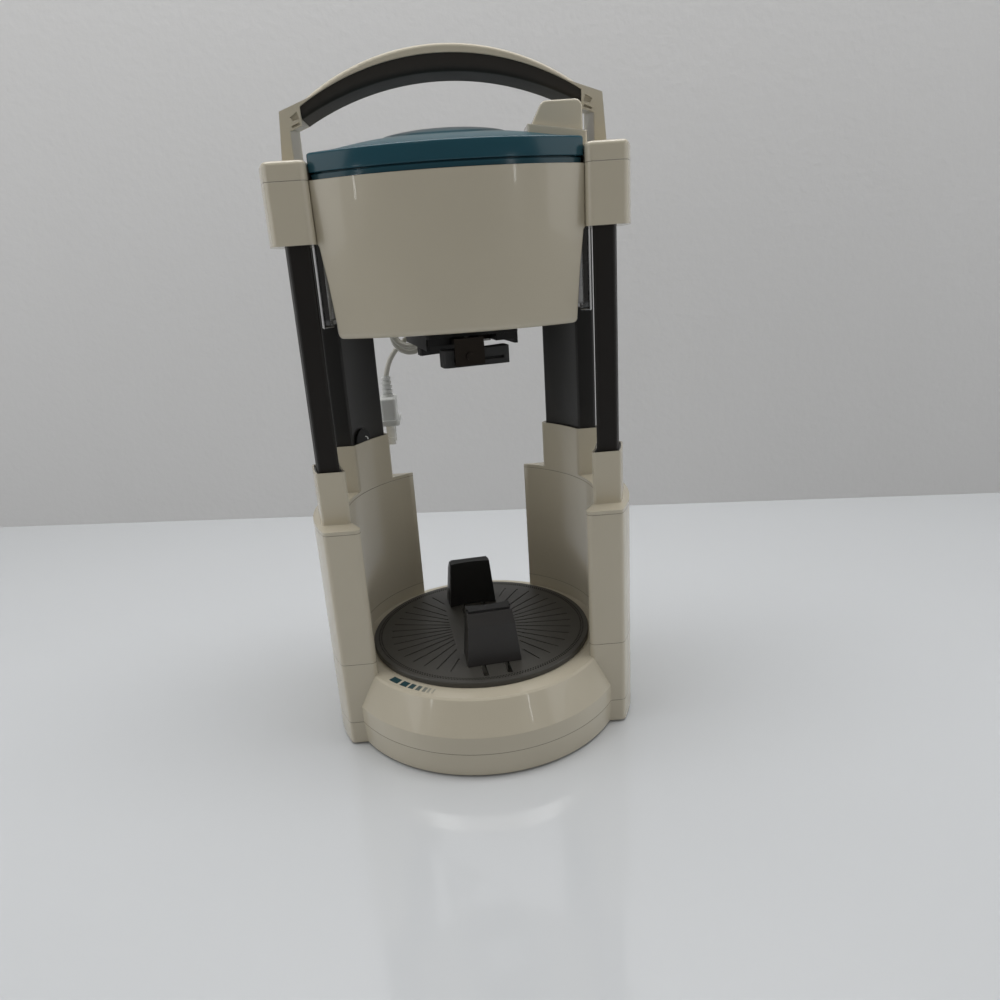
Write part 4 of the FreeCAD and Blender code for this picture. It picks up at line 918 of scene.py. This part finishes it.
# %% Floor and wall
def sheet_at(name, corners, material):
    """A flat stage piece from its corners in metres."""
    mesh = bpy.data.meshes.new(name)
    mesh.from_pydata(corners, [], [(0, 1, 2, 3)])
    thing = bpy.data.objects.new(name, mesh)
    bpy.context.scene.collection.objects.link(thing)
    dress(thing, material)
    return thing


def wall_foot(x, left=(-0.465, 0.490), right=(0.494, 0.357)):
    """How far back the wall's foot is at a place along it, from two places that it runs through."""
    return left[1] + (x - left[0]) * (right[1] - left[1]) / (right[0] - left[0])


floor_paint = Finish("floor_gloss", (0.62, 0.64, 0.66), 0.12, Coat_Weight=0.6, Coat_Roughness=0.03)
floor_paint.use("Roughness", floor_paint.noise(9, 2) * 0.05 + 0.11)
wall_paint = Finish("wall_paint", (0.63, 0.63, 0.632), 0.6)
wall_paint.bump(wall_paint.noise(120, 3), 0.0004)
left, right = (-4, wall_foot(-4)), (4, wall_foot(4))
sheet_at("floor", [(-4, -3, 0), (4, -3, 0), (*right, 0), (*left, 0)], floor_paint.material)
sheet_at("wall", [(*left, -0.2), (*right, -0.2), (*right, 3), (*left, 3)], wall_paint.material)
print("wall", round(wall_foot(0), 2), "m behind the opener's middle")

# %% [markdown]
# ## The lights
# A wide soft light overhead does most of the work, with a weaker one from each side to shape the round
# body. A long lamp overhead is aimed at the wall, and a faint warm one stands high in front. Glossy plastic
# shows lamps as well as light, so two narrow lamps and a small warm one stand lower in front. They add
# almost no light and are there for their reflections on the sloping ring.

# %% Lights
def softbox(name, place, aim, size, power, color=(1, 1, 1)):
    """A rectangular soft light, pointed at a place."""
    lamp = bpy.data.lights.new(name, "AREA")
    lamp.shape, lamp.size, lamp.size_y, lamp.energy, lamp.color = "RECTANGLE", *size, power, color
    thing = bpy.data.objects.new(name, lamp)
    thing.location = place
    thing.rotation_euler = (Vector(aim) - Vector(place)).to_track_quat("-Z", "Y").to_euler()
    bpy.context.scene.collection.objects.link(thing)
    return thing


softbox("ceiling_light", (0.0, 0.12, 1.6), (0, 0.05, 0.2), (1.8, 1.0), 13.0)
softbox("left_light", (-1.35, -0.35, 0.6), (0, 0, 0.22), (1.3, 0.9), 4.4)
softbox("right_light", (1.35, -0.45, 0.6), (0, 0, 0.22), (1.3, 0.9), 3.5)
softbox("front_light", (-0.35, -1.3, 1.5), (0, 0, 0.1), (0.12, 0.5), 0.35, (1, 0.88, 0.7))
softbox("wall_light", (0.1, 0.05, 1.5), (0.1, 0.45, 0.55), (1.6, 0.3), 7.0)
softbox("left_streak", (-1.05, -1.08, 0.40), (0, 0, 0.04), (0.03, 0.28), 0.22)
softbox("right_streak", (0.80, -1.27, 0.40), (0, 0, 0.04), (0.03, 0.28), 0.22)
softbox("warm_spot", (-0.93, -1.17, 0.40), (0, 0, 0.04), (0.05, 0.05), 0.05, (1, 0.75, 0.35))
world = bpy.data.worlds.new("world")
bpy.context.scene.world = world
world.use_nodes = True
sky = world.node_tree.nodes["Background"].inputs
sky["Color"].default_value = (1.0, 0.97, 0.92, 1)
sky["Strength"].default_value = 0.19
bpy.context.scene.view_settings.view_transform = "Standard"
print(len(bpy.data.lights), "lamps")

# %% [markdown]
# ## How long the lead is
# The lead is the one soft piece, so its real length and thickness are stated, and its length along the
# spline is printed beside the real length.

print("stated 0.91 m, measured", round(lead_length, 3), "m")
